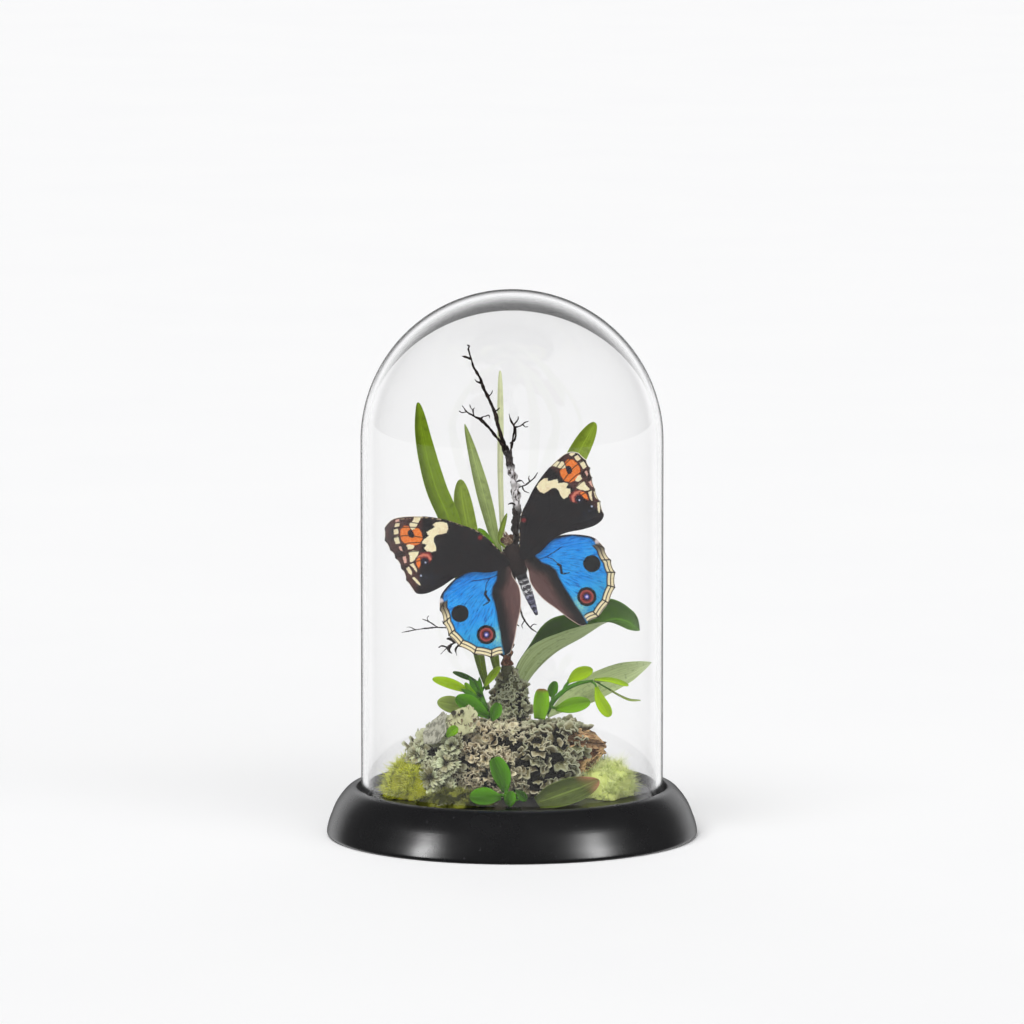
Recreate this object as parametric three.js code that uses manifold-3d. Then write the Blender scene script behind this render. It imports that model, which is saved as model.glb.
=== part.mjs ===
// Butterfly in a glass dome: a turned black base, a clear dome standing in its groove, and inside
// it a spread butterfly on a forked twig, over a lichen-covered log with moss and leafy sprigs.
// Millimetres, +Z up. The origin is the centre of the base's underside and -Y is the front.
import * as THREE from 'three';
import { mergeVertices } from 'three/addons/utils/BufferGeometryUtils.js';
import Module from 'manifold-3d';

const wasm = await Module();
wasm.setup();

// ---------------------------------------------------------------- driving dimensions
const GAP = 0.3; // air left between neighbouring pieces

const BASE_RADIUS = 45;
const LIP_TOP = 12; // height of the rim outside the groove
const PLATEAU_TOP = 10.6; // height of the disc that the plants stand on
const PLATEAU_RADIUS = 32.2;
const GROOVE_FLOOR = 9;
const GROOVE_INNER = 34.2;
const GROOVE_OUTER = 37.6;
const BASE_SEGMENTS = 44;

const DOME_RADIUS = 36.6;
const DOME_WALL = 1.8;
const DOME_FOOT = GROOVE_FLOOR + GAP;
const DOME_SHOULDER = 96.2; // where the wall turns into the round top
const DOME_SEGMENTS = 36;
const DOME_ARC_STEPS = 8;

const BED = PLATEAU_TOP + GAP; // the lowest that anything in the dome reaches

const LOG = { centre: [1, -3.6, 19.7], halfLength: 21, radius: 8.2 };
const LOG_STATIONS = [0, 0.11, 0.22, 0.33, 0.44, 0.55, 0.66, 0.77, 0.83, 0.88, 0.93, 1]; // along it
const CRUST = { centre: [-4.6, -3.8, 18.2], radii: [20.8, 10.8, 10.8], square: 3.2, lump: 0.6, waves: 5.2 };
const STUMP = { centre: [-0.4, 3.6, 30.5], radii: [5.7, 5, 7.6], lump: 0.6, waves: 4.1 };
const STUMP_NECK = [[-0.3, 3.2, 33.5], [-0.9, 2.4, 38], [-1.3, 2, 41]];
const CRUST_FINENESS = 6; // how finely the mounds' surfaces are faceted
const MOUND_FINENESS = 3;
const MOSS = {
  moss_left: { centre: [-22, -4.5, 10.2], radii: [10, 13, 11.6], lump: 0.5, waves: 3.4 },
  moss_right: { centre: [22.6, -4, 10.2], radii: [8, 12, 9.4], lump: 0.5, waves: 2.7 },
  moss_front: { centre: [-13.6, -20.3, 10], radii: [10, 7, 4.4], lump: 0.4, waves: 3.1 },
};

// The butterfly's own axes: lateral and head directions lie in the upright XZ plane.
const THORAX = new THREE.Vector3(1.2, -6, 67);
const HEADING = THREE.MathUtils.degToRad(111);
const DIHEDRAL = THREE.MathUtils.degToRad(8);
const WING_THICKNESS = 0.5;
const WING_HINGE = [2.2, 2];
const ORIGIN = new THREE.Vector2();
const FOREWING_LIFT = 1.3; // how far in front of the thorax's middle the forewings lie
const HINDWING_LIFT = 0.45;
// Each side's sign, and how its forewing is spread: turned towards the head, and stretched.
const SIDES = {
  left: { sign: -1, turn: THREE.MathUtils.degToRad(-1.6), stretch: 1.03 },
  right: { sign: 1, turn: THREE.MathUtils.degToRad(1.4), stretch: 0.975 },
};
// Half-wing outlines as [lateral, forward] distances from the thorax's middle.
const FOREWING = [
  [2.7, 1.2], [2.8, 3.6], [5.2, 10.6], [8.6, 14], [11.8, 16.7], [16.6, 19.6], [21.5, 21.4],
  [24.2, 20.9], [25.8, 19], [26.2, 16.4], [25.7, 13.2], [25.3, 9.6], [25.3, 6.6], [24.6, 3.6],
  [22.3, 2.3], [18.6, 2.3], [14.2, 3], [10.5, 2.6], [6, 0.8],
];
const HINDWING = [
  [2.8, 0.4], [6.3, 2], [11, 3.1], [15.2, 2.3], [19.4, 0.2], [21, -2.3], [21.8, -6],
  [21.7, -10], [20.3, -13.4], [17.5, -16.6], [14, -18.9], [11.5, -19.2], [9.4, -19.4],
  [7.4, -17.2], [5.2, -13.6], [2.8, -9.8], [1.5, -5.6], [2, -2.2],
];
const HEAD = { forward: 6.3, radii: [1.35, 1.2, 1.3] };
const EYE = { lateral: 1.05, forward: 6.6, radius: 0.75 };
const THORAX_RADII = [2.25, 2.2, 4.3];
const ABDOMEN = { start: -2.6, end: -13.2, radius: 1.35, segments: 7 };
const LEG_RADIUS = 0.28;
const LEG_FORWARD = [3, 0.8, -1.4];

// Twigs: points [x, y, z] and the radius at the start and at the end.
const TWIGS = {
  twig_trunk: {
    points: [[-1.3, 2, 41.6], [-1, 1.8, 47.4], [-0.2, 2, 57.3], [0.5, 2, 67], [0.9, 1.8, 75.8],
      [1.2, 1.6, 79.7], [0.6, 1.8, 85.4], [-0.6, 2, 91], [-1.6, 2, 94.4]],
    radii: [1.15, 0.8],
  },
  twig_leader: {
    points: [[-2.4, 2, 96.3], [-3.1, 2.1, 98.5], [-3.9, 2.4, 101.8], [-5.3, 2.4, 105.4],
      [-6.7, 2.6, 108.3], [-7.8, 2.4, 111.3], [-9.2, 2.2, 113.7], [-9.9, 2, 115.9],
      [-10.6, 1.8, 118.4]],
    radii: [0.6, 0.3],
  },
  twig_left_fork: {
    points: [[-3.9, 1.1, 96.8], [-5.3, 1, 98.9], [-7.4, 0.8, 101.1], [-9.2, 0.6, 102.1],
      [-10.9, 0.2, 103.2], [-12, 0, 104.7]],
    radii: [0.5, 0.24],
  },
  twig_right_fork: {
    points: [[-0.4, 1.2, 94.9], [0.3, 0.4, 97.2], [0.6, 0, 99.4], [-0.3, -0.4, 101.2],
      [-0.7, -0.6, 102.8]],
    radii: [0.45, 0.22],
  },
  twig_right_spur: {
    points: [[2.1, 1.2, 84.8], [3.2, 0.4, 85.4], [4.3, 0, 86.3], [5.4, -0.4, 87.3], [6.2, -0.6, 88.4]],
    radii: [0.32, 0.2],
  },
  twig_low_left: {
    points: [[-2.8, 2.4, 47.4], [-7, 3, 48.6], [-12, 3.4, 49.8], [-17.3, 3.4, 50.2],
      [-22, 3, 49.9], [-26.8, 2.4, 49.1]],
    radii: [0.42, 0.2],
  },
  twig_low_left_tuft: {
    points: [[-3, 1.6, 44], [-8, 1, 45.6], [-12.4, 0.4, 47], [-15, 0, 46.3], [-17.3, -0.4, 44.2]],
    radii: [0.4, 0.2],
  },
  twig_low_right: {
    points: [[1.5, 1.2, 57.4], [2.6, 0.6, 53.2], [4.4, 0.6, 50.6], [6.3, 0.8, 49.4]],
    radii: [0.34, 0.2],
  },
};
const TWIG_SIDES = 6;
const FINE_SIDES = 4; // for the legs

// Leaves: midrib points, full width of the flattened blade, the direction the upper face looks
// in, how many degrees each half is folded up at the stalk and at the tip, the stalk's share of
// the width, where the blade is widest and how blunt its tip is.
const STRAP = { fold: [10, 10], stalk: 0.22, widest: 0.62, blunt: 0.62, thick: 0.5 };
const FLESHY = { fold: [8, 6], stalk: 0.3, widest: 0.6, blunt: 0.45, thick: 0.75 };
const BROAD = { fold: [16, 12], stalk: 0.16, widest: 0.45, blunt: 0.85, thick: 0.5 };
const LEAVES = {
  tall_leaf: {
    ...STRAP, blunt: 0.5, width: 5.4, face: [0.25, -1, 0.1], colour: 0x5f7f1e,
    points: [[-5.9, 2.8, 35], [-7.8, 4, 42], [-11, 5.2, 58], [-14.8, 6, 74.6], [-18.6, 7, 84],
      [-21.4, 7.6, 94.5], [-22.9, 7.6, 104.7]],
  },
  round_leaf: {
    ...STRAP, blunt: 0.45, widest: 0.7, width: 4.9, face: [0, -1, 0.1], colour: 0x74913a,
    points: [[-3.2, 6.8, 36.6], [-4.4, 7.6, 43], [-7.2, 8.2, 58], [-10.2, 8, 71], [-11.9, 7.4, 79.8],
      [-12.6, 6.6, 86]],
  },
  slim_leaf: {
    ...STRAP, width: 3.4, face: [0.1, -1, 0], colour: 0x7d9a52,
    points: [[-1.3, 2.9, 64], [-3.9, 4.6, 71], [-5.9, 5.6, 78.6], [-8.1, 6, 87], [-11.5, 6, 99.6]],
  },
  pale_leaf: {
    ...STRAP, blunt: 0.35, stalk: 0.5, width: 1.55, face: [0, -1, 0], widest: 0.8, colour: 0xb9cf93,
    points: [[0.2, 3.7, 60.6], [-2, 7.2, 70], [-2.8, 9, 85], [-2.8, 9.4, 98],
      [-2.9, 9.2, 112.3]],
  },
  bud_leaf: {
    ...STRAP, width: 1.3, face: [0, -1, 0], colour: 0x7a9a2a,
    points: [[-0.9, 1.6, 69.4], [-2.9, 1.7, 71.6], [-2.2, 1.9, 75.4], [-1.2, 1.9, 78.4]],
  },
  short_leaf: {
    ...STRAP, width: 1.8, face: [0, -1, 0.2], colour: 0x5f8a22,
    points: [[-1.1, 1.1, 67], [-4.4, 1.8, 70.2], [-6.8, 2.8, 73], [-8.2, 3.2, 74.5]],
  },
  top_leaf: {
    ...STRAP, widest: 0.74, blunt: 0.42, width: 5, face: [-0.2, -1, 0.1], colour: 0x8fae4d,
    points: [[2.1, 3.2, 62], [5.8, 5.8, 71.4], [10.9, 7, 82], [16, 6.6, 92],
      [20.2, 5.4, 100]],
  },
  folded_leaf: {
    ...BROAD, fold: [66, 12], width: 14, stalk: 0.42, widest: 0.4, thick: 0.6, colour: 0x8ca468,
    face: [-0.5, -0.15, 0.8], tipFace: [0.1, -0.85, 0.5],
    points: [[1.8, 9.6, 33], [5.2, 8.4, 38.4], [10.4, 7, 43.6], [17, 5.6, 47.6], [23.4, 4.6, 51.6],
      [27.8, 4, 51.6], [31.2, 3.6, 49.4]],
  },
  side_leaf: {
    ...BROAD, width: 7.6, face: [-0.25, -0.85, 0.5], colour: 0xa3ba7d,
    points: [[8.6, 5.6, 28], [14.8, 6.8, 31.8], [23.1, 6.4, 36.2], [29.4, 4.4, 39.2],
      [34.2, 1.6, 41.9]],
  },
  fallen_leaf: {
    ...BROAD, width: 8.6, stalk: 0.5, blunt: 0.55, fold: [6, 6], face: [0.1, -0.55, 0.83],
    colour: 0x627041,
    points: [[6, -28, 12.2], [10, -26.8, 13.4], [15.4, -24.4, 15], [20.6, -20.8, 16.7]],
  },
  tucked_leaf: {
    ...FLESHY, width: 4.2, blunt: 0.5, face: [0, -1, 0.3], colour: 0x93a35a,
    points: [[-12, 3.4, 29.6], [-14, 3.6, 31], [-18.2, 3.4, 32]],
  },
  right_sprig_upright_leaf: {
    ...FLESHY, width: 3.9, blunt: 0.25, stalk: 0.7, face: [0.1, -1, 0.1], colour: 0x4c8c0a,
    points: [[6.6, -6.2, 29.2], [7, -6, 32.4], [7.25, -5.4, 36.5]],
  },
  right_sprig_low_leaf: {
    ...FLESHY, width: 3.8, face: [0, -1, 0.25], colour: 0x55a511,
    points: [[10.6, -3.4, 31.2], [14.1, -4.6, 32.2], [18.9, -5, 33.2]],
  },
  right_sprig_dark_leaf: {
    ...FLESHY, width: 2.6, face: [-0.3, -1, 0], colour: 0x2f5a10,
    points: [[9.8, 0.8, 33.4], [9.8, 0.9, 34.8], [10.6, 0.8, 37.4]],
  },
  right_sprig_top_leaf: {
    ...FLESHY, width: 3.4, face: [-0.5, -0.9, 0.3], colour: 0x6a9a12,
    points: [[13.6, 0.3, 37.2], [16, 0.2, 39], [19.6, -0.4, 40.4]],
  },
  right_sprig_level_leaf: {
    ...FLESHY, widest: 0.72, width: 2.1, face: [0, -0.5, 0.85], colour: 0x86ad1c,
    points: [[20, -1.6, 38.1], [24, -2, 38], [28.2, -2.4, 36.8]],
  },
  right_sprig_hanging_leaf: {
    ...FLESHY, blunt: 0.4, widest: 0.72, width: 3, face: [0, -1, 0.1], colour: 0x84a80f,
    points: [[20.4, -2, 36.4], [21.4, -3, 33.2], [23.7, -3.6, 29.4]],
  },
  right_sprig_curl: {
    ...FLESHY, width: 0.8, thick: 0.5, face: [0, -0.6, 0.8], colour: 0x8ea257,
    points: [[23.6, 1.4, 35.4], [26.4, 1.8, 33.6], [28.8, 2, 32.6], [31.4, 2, 32.5]],
  },
  left_sprig_outer_leaf: {
    ...FLESHY, width: 3.2, face: [0.2, -0.7, 0.7], colour: 0x5c9c1c,
    points: [[-10, -0.6, 35], [-14.6, -0.6, 36.8], [-19.3, -0.8, 38.2]],
  },
  left_sprig_dark_leaf: {
    ...FLESHY, width: 2.2, face: [0.2, -0.5, 0.85], colour: 0x243f12,
    points: [[-8.8, 2.2, 37.2], [-11.4, 2.4, 38.2], [-14.4, 2.2, 39.4]],
  },
  left_sprig_narrow_leaf: {
    ...FLESHY, width: 1.6, face: [0, -1, 0.2], colour: 0x6da42a,
    points: [[-8.2, -1.8, 33.4], [-9.8, -1.8, 35.2], [-11.4, -1.6, 37.4]],
  },
  left_sprig_inner_leaf: {
    ...FLESHY, width: 1.5, face: [0, -1, 0.1], colour: 0x4f8020,
    points: [[-7, -1.8, 34.2], [-8, -1.6, 36], [-9, -1.4, 38]],
  },
  left_sprig_front_leaf: {
    ...FLESHY, width: 4.6, face: [0.25, -0.85, 0.45], colour: 0x2f7a10,
    points: [[-5.4, -5, 29.4], [-9.4, -5.6, 32.2], [-13.6, -5.4, 34.4]],
  },
  left_sprig_low_leaf: {
    ...FLESHY, width: 3, face: [-0.2, -1, 0.2], colour: 0x3a7a12,
    points: [[-4.8, -6.8, 28.9], [-4, -7, 30.8], [-3.2, -6.6, 33.2]],
  },
  left_sprig_high_leaf: {
    ...FLESHY, width: 2, face: [-0.4, -0.9, 0.1], colour: 0x87b02a,
    points: [[-6.6, 0.4, 36.2], [-5, 0, 38.6], [-2.9, -0.6, 41.2]],
  },
  tiny_leaf: {
    ...FLESHY, width: 2.4, thick: 0.6, face: [0, -1, 0.2], colour: 0x3f8a1a,
    points: [[-15.6, -15.6, 26.4], [-14.4, -16.2, 27.7], [-13, -15.8, 28.7]],
  },
  front_sprig_upright_leaf: {
    ...FLESHY, width: 4.5, blunt: 0.3, stalk: 0.35, face: [0.15, -1, 0.2], colour: 0x3c8f10,
    points: [[-1.6, -20.4, 13.6], [-2.4, -19.8, 17.4], [-4.2, -18.8, 21.8]],
  },
  front_sprig_left_leaf: {
    ...FLESHY, width: 5, blunt: 0.4, face: [0, -0.75, 0.65], colour: 0x3a8a12,
    points: [[-2.6, -25.6, 13.2], [-5.8, -26, 13.4], [-10, -25.6, 13.4]],
  },
  front_sprig_round_leaf: {
    ...FLESHY, width: 3, blunt: 0.4, face: [-0.3, -0.9, 0.5], colour: 0x58a018,
    points: [[-0.5, -29.2, 11.6], [-0.4, -29.4, 13.2], [-0.3, -28.6, 15.2]],
  },
  front_sprig_dark_leaf: {
    ...FLESHY, width: 2.2, face: [-0.3, -0.8, 0.5], colour: 0x2c4a14,
    points: [[1, -23.8, 14.6], [2.2, -25, 13.6], [3.4, -26, 12.4]],
  },
};
const LEAF_STATIONS = 8;

// Stems: points and start and end radii, as for the twigs.
const STEMS = {
  right_sprig_stem: {
    points: [[8.2, -1.2, 30.2], [10.2, -0.9, 33], [13, -0.9, 35.6], [16, -1.1, 37.1], [19, -1.6, 37.8]],
    radii: [0.65, 0.4],
  },
  left_sprig_stem: {
    points: [[-6.2, -3, 31.4], [-7.2, -0.4, 33.4], [-8, 0.4, 36]],
    radii: [0.7, 0.45],
  },
  front_sprig_stem: {
    points: [[-0.7, -23, 11.2], [-1.2, -22.6, 12.6], [-1.4, -22, 14.6]],
    radii: [0.75, 0.5],
  },
};

const LICHEN_LOBE = {
  face: [-0.35, -0.8, 0.5], width: 7.6, fold: [14, 14], thick: 0.6, stalk: 0.6, widest: 0.5, blunt: 0.35,
  points: [[-11.4, -14, 26.6], [-11.7, -12, 29.6], [-12.6, -9.6, 32.2]],
};
const LICHEN_SHEET = {
  face: [-0.6, -0.75, 0.3], width: 5, fold: [6, 6], thick: 0.5, stalk: 0.8, widest: 0.5, blunt: 0.35,
  points: [[-19.2, -14.2, 25], [-18.6, -12, 28.2], [-17.6, -8.8, 31]],
};

// ---------------------------------------------------------------- solids
const vec = ([x, y, z]) => new THREE.Vector3(x, y, z);
const smoothStep = THREE.MathUtils.smoothstep;

// One closed surface through rings of points, each ring counter-clockwise about the way on.
function loftRings(rings, startPoint, endPoint) {
  const count = rings[0].length;
  const positions = rings.flat().concat([startPoint, endPoint]).flatMap((p) => [p.x, p.y, p.z]);
  const start = rings.length * count;
  const end = start + 1;
  const index = [];
  for (let k = 0; k < count; k += 1) {
    const next = (k + 1) % count;
    index.push(start, next, k);
    const last = (rings.length - 1) * count;
    index.push(end, last + k, last + next);
    for (let ring = 0; ring < rings.length - 1; ring += 1) {
      const low = ring * count;
      const high = low + count;
      index.push(low + k, low + next, high + next);
      index.push(low + k, high + next, high + k);
    }
  }
  const geometry = new THREE.BufferGeometry();
  geometry.setAttribute('position', new THREE.Float32BufferAttribute(positions, 3));
  geometry.setIndex(index);
  return geometry;
}

const smoothLine = (points) => new THREE.CatmullRomCurve3(points.map(vec), false, 'catmullrom', 0.5);

// The axes of a section at share t of a line: across, up (towards the facing direction), along.
function sectionAxes(line, t, facing) {
  const along = line.getTangent(t);
  const up = facing.clone().addScaledVector(along, -facing.dot(along)).normalize();
  return { across: up.clone().cross(along), up, along };
}

// A round tapered stem with closed ends.
function taperedStem({ points, radii }, sides) {
  const line = smoothLine(points);
  const facing = new THREE.Vector3(0.2, -1, 0.15).normalize();
  const stations = points.length * 2 - 2;
  const rings = [];
  for (let i = 0; i <= stations; i += 1) {
    const t = i / stations;
    const middle = line.getPoint(t);
    const { across, up } = sectionAxes(line, t, facing);
    const radius = THREE.MathUtils.lerp(radii[0], radii[1], t);
    rings.push(Array.from({ length: sides }, (_, k) => {
      const angle = (k / sides) * 2 * Math.PI;
      return middle.clone()
        .addScaledVector(across, radius * Math.cos(angle))
        .addScaledVector(up, radius * Math.sin(angle));
    }));
  }
  return loftRings(rings, line.getPoint(0), line.getPoint(1));
}

// The share of a blade's full width at share t of its length.
function bladeShare(t, { stalk, widest, blunt }) {
  if (t < widest) return stalk + (1 - stalk) * Math.sin((t / widest) * Math.PI / 2) ** 1.3;
  return Math.cos(((t - widest) / (1 - widest)) * Math.PI / 2) ** blunt;
}

// A leaf blade: a keeled section swept along the midrib, ending in a point.
function leafBlade(leaf) {
  const line = smoothLine(leaf.points);
  const faces = [leaf.face, leaf.tipFace ?? leaf.face].map((face) => vec(face).normalize());
  const rings = [];
  for (let i = 0; i < LEAF_STATIONS; i += 1) {
    const t = (i / LEAF_STATIONS) ** 0.9;
    const middle = line.getPoint(t);
    const facing = faces[0].clone().lerp(faces[1], t * t).normalize();
    const { across, up } = sectionAxes(line, t, facing);
    const fold = THREE.MathUtils.degToRad(THREE.MathUtils.lerp(leaf.fold[0], leaf.fold[1], t * t));
    const blade = (leaf.width / 2) * bladeShare(t, leaf);
    const half = blade * Math.cos(fold);
    const rise = blade * Math.sin(fold);
    const thick = leaf.thick * (1 - 0.5 * t) / Math.cos(fold);
    const corners = [[half, rise], [0, thick / 2], [-half, rise], [0, -thick / 2]];
    rings.push(corners.map(([side, rise]) => (
      middle.clone().addScaledVector(across, side).addScaledVector(up, rise))));
  }
  return loftRings(rings, line.getPoint(0), line.getPoint(1));
}

// A ball drawn out to three radii, squarer above 2, swollen by waves and flat where it meets the bed.
function lumpyMound({ centre, radii, lump, waves, square = 2 }, grow, fineness) {
  const geometry = mergeVertices(stripped(new THREE.IcosahedronGeometry(1, fineness)));
  const place = geometry.getAttribute('position');
  const point = new THREE.Vector3();
  for (let i = 0; i < place.count; i += 1) {
    point.fromBufferAttribute(place, i).normalize();
    const swell = lump * (Math.sin(waves * point.x * 2 + 1) * Math.cos(waves * point.z * 1.7)
      + Math.sin(waves * point.y * 1.9 + point.x * 3));
    const out = point.clone();
    const bulge = point.toArray().reduce((sum, v) => sum + Math.abs(v) ** square, 0) ** (-1 / square);
    point.set(out.x * radii[0], out.y * radii[1], out.z * radii[2]).multiplyScalar(bulge);
    point.addScaledVector(out, swell + grow).add(vec(centre));
    point.z = Math.max(point.z, BED - grow);
    place.setXYZ(i, point.x, point.y, point.z);
  }
  return geometry;
}

// How the log's radius shrinks along it, and how far its middle rises, at share t of its length.
const logTaper = (t) => 1 - 0.2 * t - 0.3 * Math.max(0, 0.12 - t) - 0.62 * smoothStep(t, 0.8, 1.02);
const logRise = (t) => 2 * smoothStep(t, 0.78, 1);

// The bare wood: a crooked round log lying along X, whose right-hand end is split to a ragged point.
function logForm(grow) {
  const sides = 14;
  const rings = LOG_STATIONS.map((t, i) => {
    const x = LOG.centre[0] + LOG.halfLength * (2 * t - 1) + (t - 0.5) * 2 * grow;
    return Array.from({ length: sides }, (_, k) => {
      const angle = (k / sides) * 2 * Math.PI;
      const knots = 0.5 * Math.sin(3 * angle + 5 * t) + 0.35 * Math.cos(9 * t + angle);
      const radius = (LOG.radius + knots) * logTaper(t) + grow;
      const ragged = i === LOG_STATIONS.length - 1 ? 0.9 * Math.sin(5 * angle) : 0;
      const y = LOG.centre[1] + radius * Math.cos(angle);
      const z = LOG.centre[2] + logRise(t) + radius * Math.sin(angle);
      return new THREE.Vector3(x + ragged, y, z);
    });
  });
  const [left, right] = [0, 1].map((t) => (
    vec(LOG.centre).add(vec([(2 * t - 1) * (LOG.halfLength + grow), 0, logRise(t)]))));
  return loftRings(rings, left, right);
}

function stripped(geometry) {
  geometry.deleteAttribute('normal');
  geometry.deleteAttribute('uv');
  return geometry;
}

function asSolid(geometry) {
  const merged = mergeVertices(stripped(geometry.clone()), 1e-4);
  return new wasm.Manifold(new wasm.Mesh({
    numProp: 3,
    vertProperties: Float32Array.from(merged.getAttribute('position').array),
    triVerts: Uint32Array.from(merged.index.array),
  }));
}

function asGeometry(solid) {
  const mesh = solid.getMesh();
  const geometry = new THREE.BufferGeometry();
  geometry.setAttribute('position', new THREE.Float32BufferAttribute(mesh.vertProperties, 3));
  geometry.setIndex(Array.from(mesh.triVerts));
  return geometry;
}

const joined = (geometries) => (
  geometries.map(asSolid).reduce((whole, next) => whole.add(next)));
const cutBy = (geometry, cutters) => (
  cutters.map(asSolid).reduce((left, cutter) => left.subtract(cutter), asSolid(geometry)));
const largestBody = (solid) => (
  solid.decompose().sort((a, b) => b.volume() - a.volume())[0]);

// ---------------------------------------------------------------- pieces
const part = new THREE.Group();

function addPiece(name, geometry, color, roughness, metalness = 0) {
  geometry.computeVertexNormals();
  const material = new THREE.MeshStandardMaterial({ color, roughness, metalness });
  const mesh = new THREE.Mesh(geometry, material);
  mesh.name = name;
  part.add(mesh);
  return mesh;
}

const turned = (profile, segments) => {
  const upright = profile.map(([r, z]) => new THREE.Vector2(r, z));
  return new THREE.LatheGeometry(upright, segments).rotateX(Math.PI / 2);
};

function buildBase() {
  const profile = [
    [0, 0], [BASE_RADIUS - 0.6, 0], [BASE_RADIUS, 0.7], [BASE_RADIUS - 0.1, 2], [44.2, 4.2],
    [43.4, 6.3], [42.6, 8], [41.2, 10], [39.9, 11.4], [39.2, 11.9], [38.4, LIP_TOP],
    [GROOVE_OUTER, 11.7], [GROOVE_OUTER, GROOVE_FLOOR], [GROOVE_INNER, GROOVE_FLOOR],
    [GROOVE_INNER, 10.3], [33.6, PLATEAU_TOP], [PLATEAU_RADIUS, PLATEAU_TOP], [0, PLATEAU_TOP],
  ];
  addPiece('base', turned(profile, BASE_SEGMENTS), 0x1c1c1c, 0.4);
}

function domeArc(radius, fromTop) {
  const arc = [];
  for (let i = 0; i <= DOME_ARC_STEPS; i += 1) {
    const angle = (i / DOME_ARC_STEPS) * Math.PI / 2;
    arc.push([radius * Math.cos(angle), DOME_SHOULDER + radius * Math.sin(angle)]);
  }
  arc[DOME_ARC_STEPS][0] = 0;
  return fromTop ? arc.reverse() : arc;
}

function buildDome() {
  const inner = DOME_RADIUS - DOME_WALL;
  const profile = [
    ...domeArc(inner, true),
    [inner, DOME_FOOT],
    [DOME_RADIUS, DOME_FOOT],
    ...domeArc(DOME_RADIUS, false),
  ];
  addPiece('glass_dome', turned(profile, DOME_SEGMENTS), 0xf4f8f8, 0.03);
}

function buildLogAndMoss() {
  const looseCrust = lumpyMound(CRUST, GAP, CRUST_FINENESS);
  const looseLog = logForm(GAP);
  addPiece('bark_log', logForm(0), 0x5a3f28, 0.9);
  const crust = largestBody(cutBy(lumpyMound(CRUST, 0, CRUST_FINENESS), [looseLog]));
  addPiece('lichen_crust', asGeometry(crust), 0xa9ab8c, 0.95);
  const stump = joined([
    lumpyMound(STUMP, 0, MOUND_FINENESS),
    taperedStem({ points: STUMP_NECK, radii: [3.4, 1.5] }, 8),
  ]);
  const seated = cutBy(asGeometry(stump), [looseCrust, looseLog]);
  addPiece('lichen_stump', asGeometry(largestBody(seated)), 0x8f9676, 0.95);
  const neighbours = [looseCrust, looseLog];
  Object.entries(MOSS).forEach(([name, mound]) => {
    const trimmed = largestBody(cutBy(lumpyMound(mound, 0, MOUND_FINENESS), neighbours));
    addPiece(name, asGeometry(trimmed), 0x7f8a2e, 1);
    neighbours.push(lumpyMound(mound, GAP, MOUND_FINENESS));
  });
  addPiece('lichen_lobe', leafBlade(LICHEN_LOBE), 0xc9cba8, 0.9);
  addPiece('lichen_sheet', leafBlade(LICHEN_SHEET), 0xb4b4a2, 0.8);
}

function buildPlants() {
  Object.entries(TWIGS).forEach(([name, twig]) => {
    addPiece(name, taperedStem(twig, TWIG_SIDES), 0x2b2622, 0.9);
  });
  Object.entries(STEMS).forEach(([name, stem]) => {
    addPiece(name, taperedStem(stem, TWIG_SIDES), 0x4e7f1c, 0.6);
  });
  Object.entries(LEAVES).forEach(([name, leaf]) => {
    addPiece(name, leafBlade(leaf), leaf.colour, 0.5);
  });
}

// The place of a point given in the butterfly's own axes; front is out of its back, at -Y.
function onButterfly(lateral, forward, front) {
  const across = new THREE.Vector3(Math.sin(HEADING), 0, -Math.cos(HEADING));
  const ahead = new THREE.Vector3(Math.cos(HEADING), 0, Math.sin(HEADING));
  return THORAX.clone()
    .addScaledVector(across, lateral)
    .addScaledVector(ahead, forward)
    .add(new THREE.Vector3(0, -front, 0));
}

// A flat wing plate, raised by the dihedral towards its tip.
function wingPlate(outline, side, lift, turn = 0, stretch = 1) {
  const hinge = new THREE.Vector2(...WING_HINGE);
  const shape = new THREE.Shape(outline.map(([a, b]) => (
    new THREE.Vector2(a, b).sub(hinge).multiplyScalar(stretch).rotateAround(ORIGIN, turn).add(hinge))));
  const plate = new THREE.ExtrudeGeometry(shape, { depth: WING_THICKNESS, bevelEnabled: false });
  const place = plate.getAttribute('position');
  for (let i = 0; i < place.count; i += 1) {
    const [lateral, forward, depth] = [place.getX(i), place.getY(i), place.getZ(i)];
    const reach = lateral * Math.cos(DIHEDRAL);
    const front = lift + depth + lateral * Math.sin(DIHEDRAL);
    const { x, y, z } = onButterfly(side * reach, forward, front);
    place.setXYZ(i, x, y, z);
  }
  const closed = mergeVertices(stripped(plate), 1e-4);
  const faces = closed.index;
  for (let i = 0; side < 0 && i < faces.count; i += 3) {
    const second = faces.getX(i + 1);
    faces.setX(i + 1, faces.getX(i + 2));
    faces.setX(i + 2, second);
  }
  return closed;
}

// An egg-shaped piece of the body with its long axis ahead.
function bodyEgg(lateral, forward, front, radii) {
  const egg = stripped(new THREE.SphereGeometry(1, 8, 6));
  const place = egg.getAttribute('position');
  for (let i = 0; i < place.count; i += 1) {
    const { x, y, z } = onButterfly(
      lateral + place.getX(i) * radii[0],
      forward + place.getY(i) * radii[2],
      front + place.getZ(i) * radii[1],
    );
    place.setXYZ(i, x, y, z);
  }
  return mergeVertices(egg, 1e-4);
}

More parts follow.
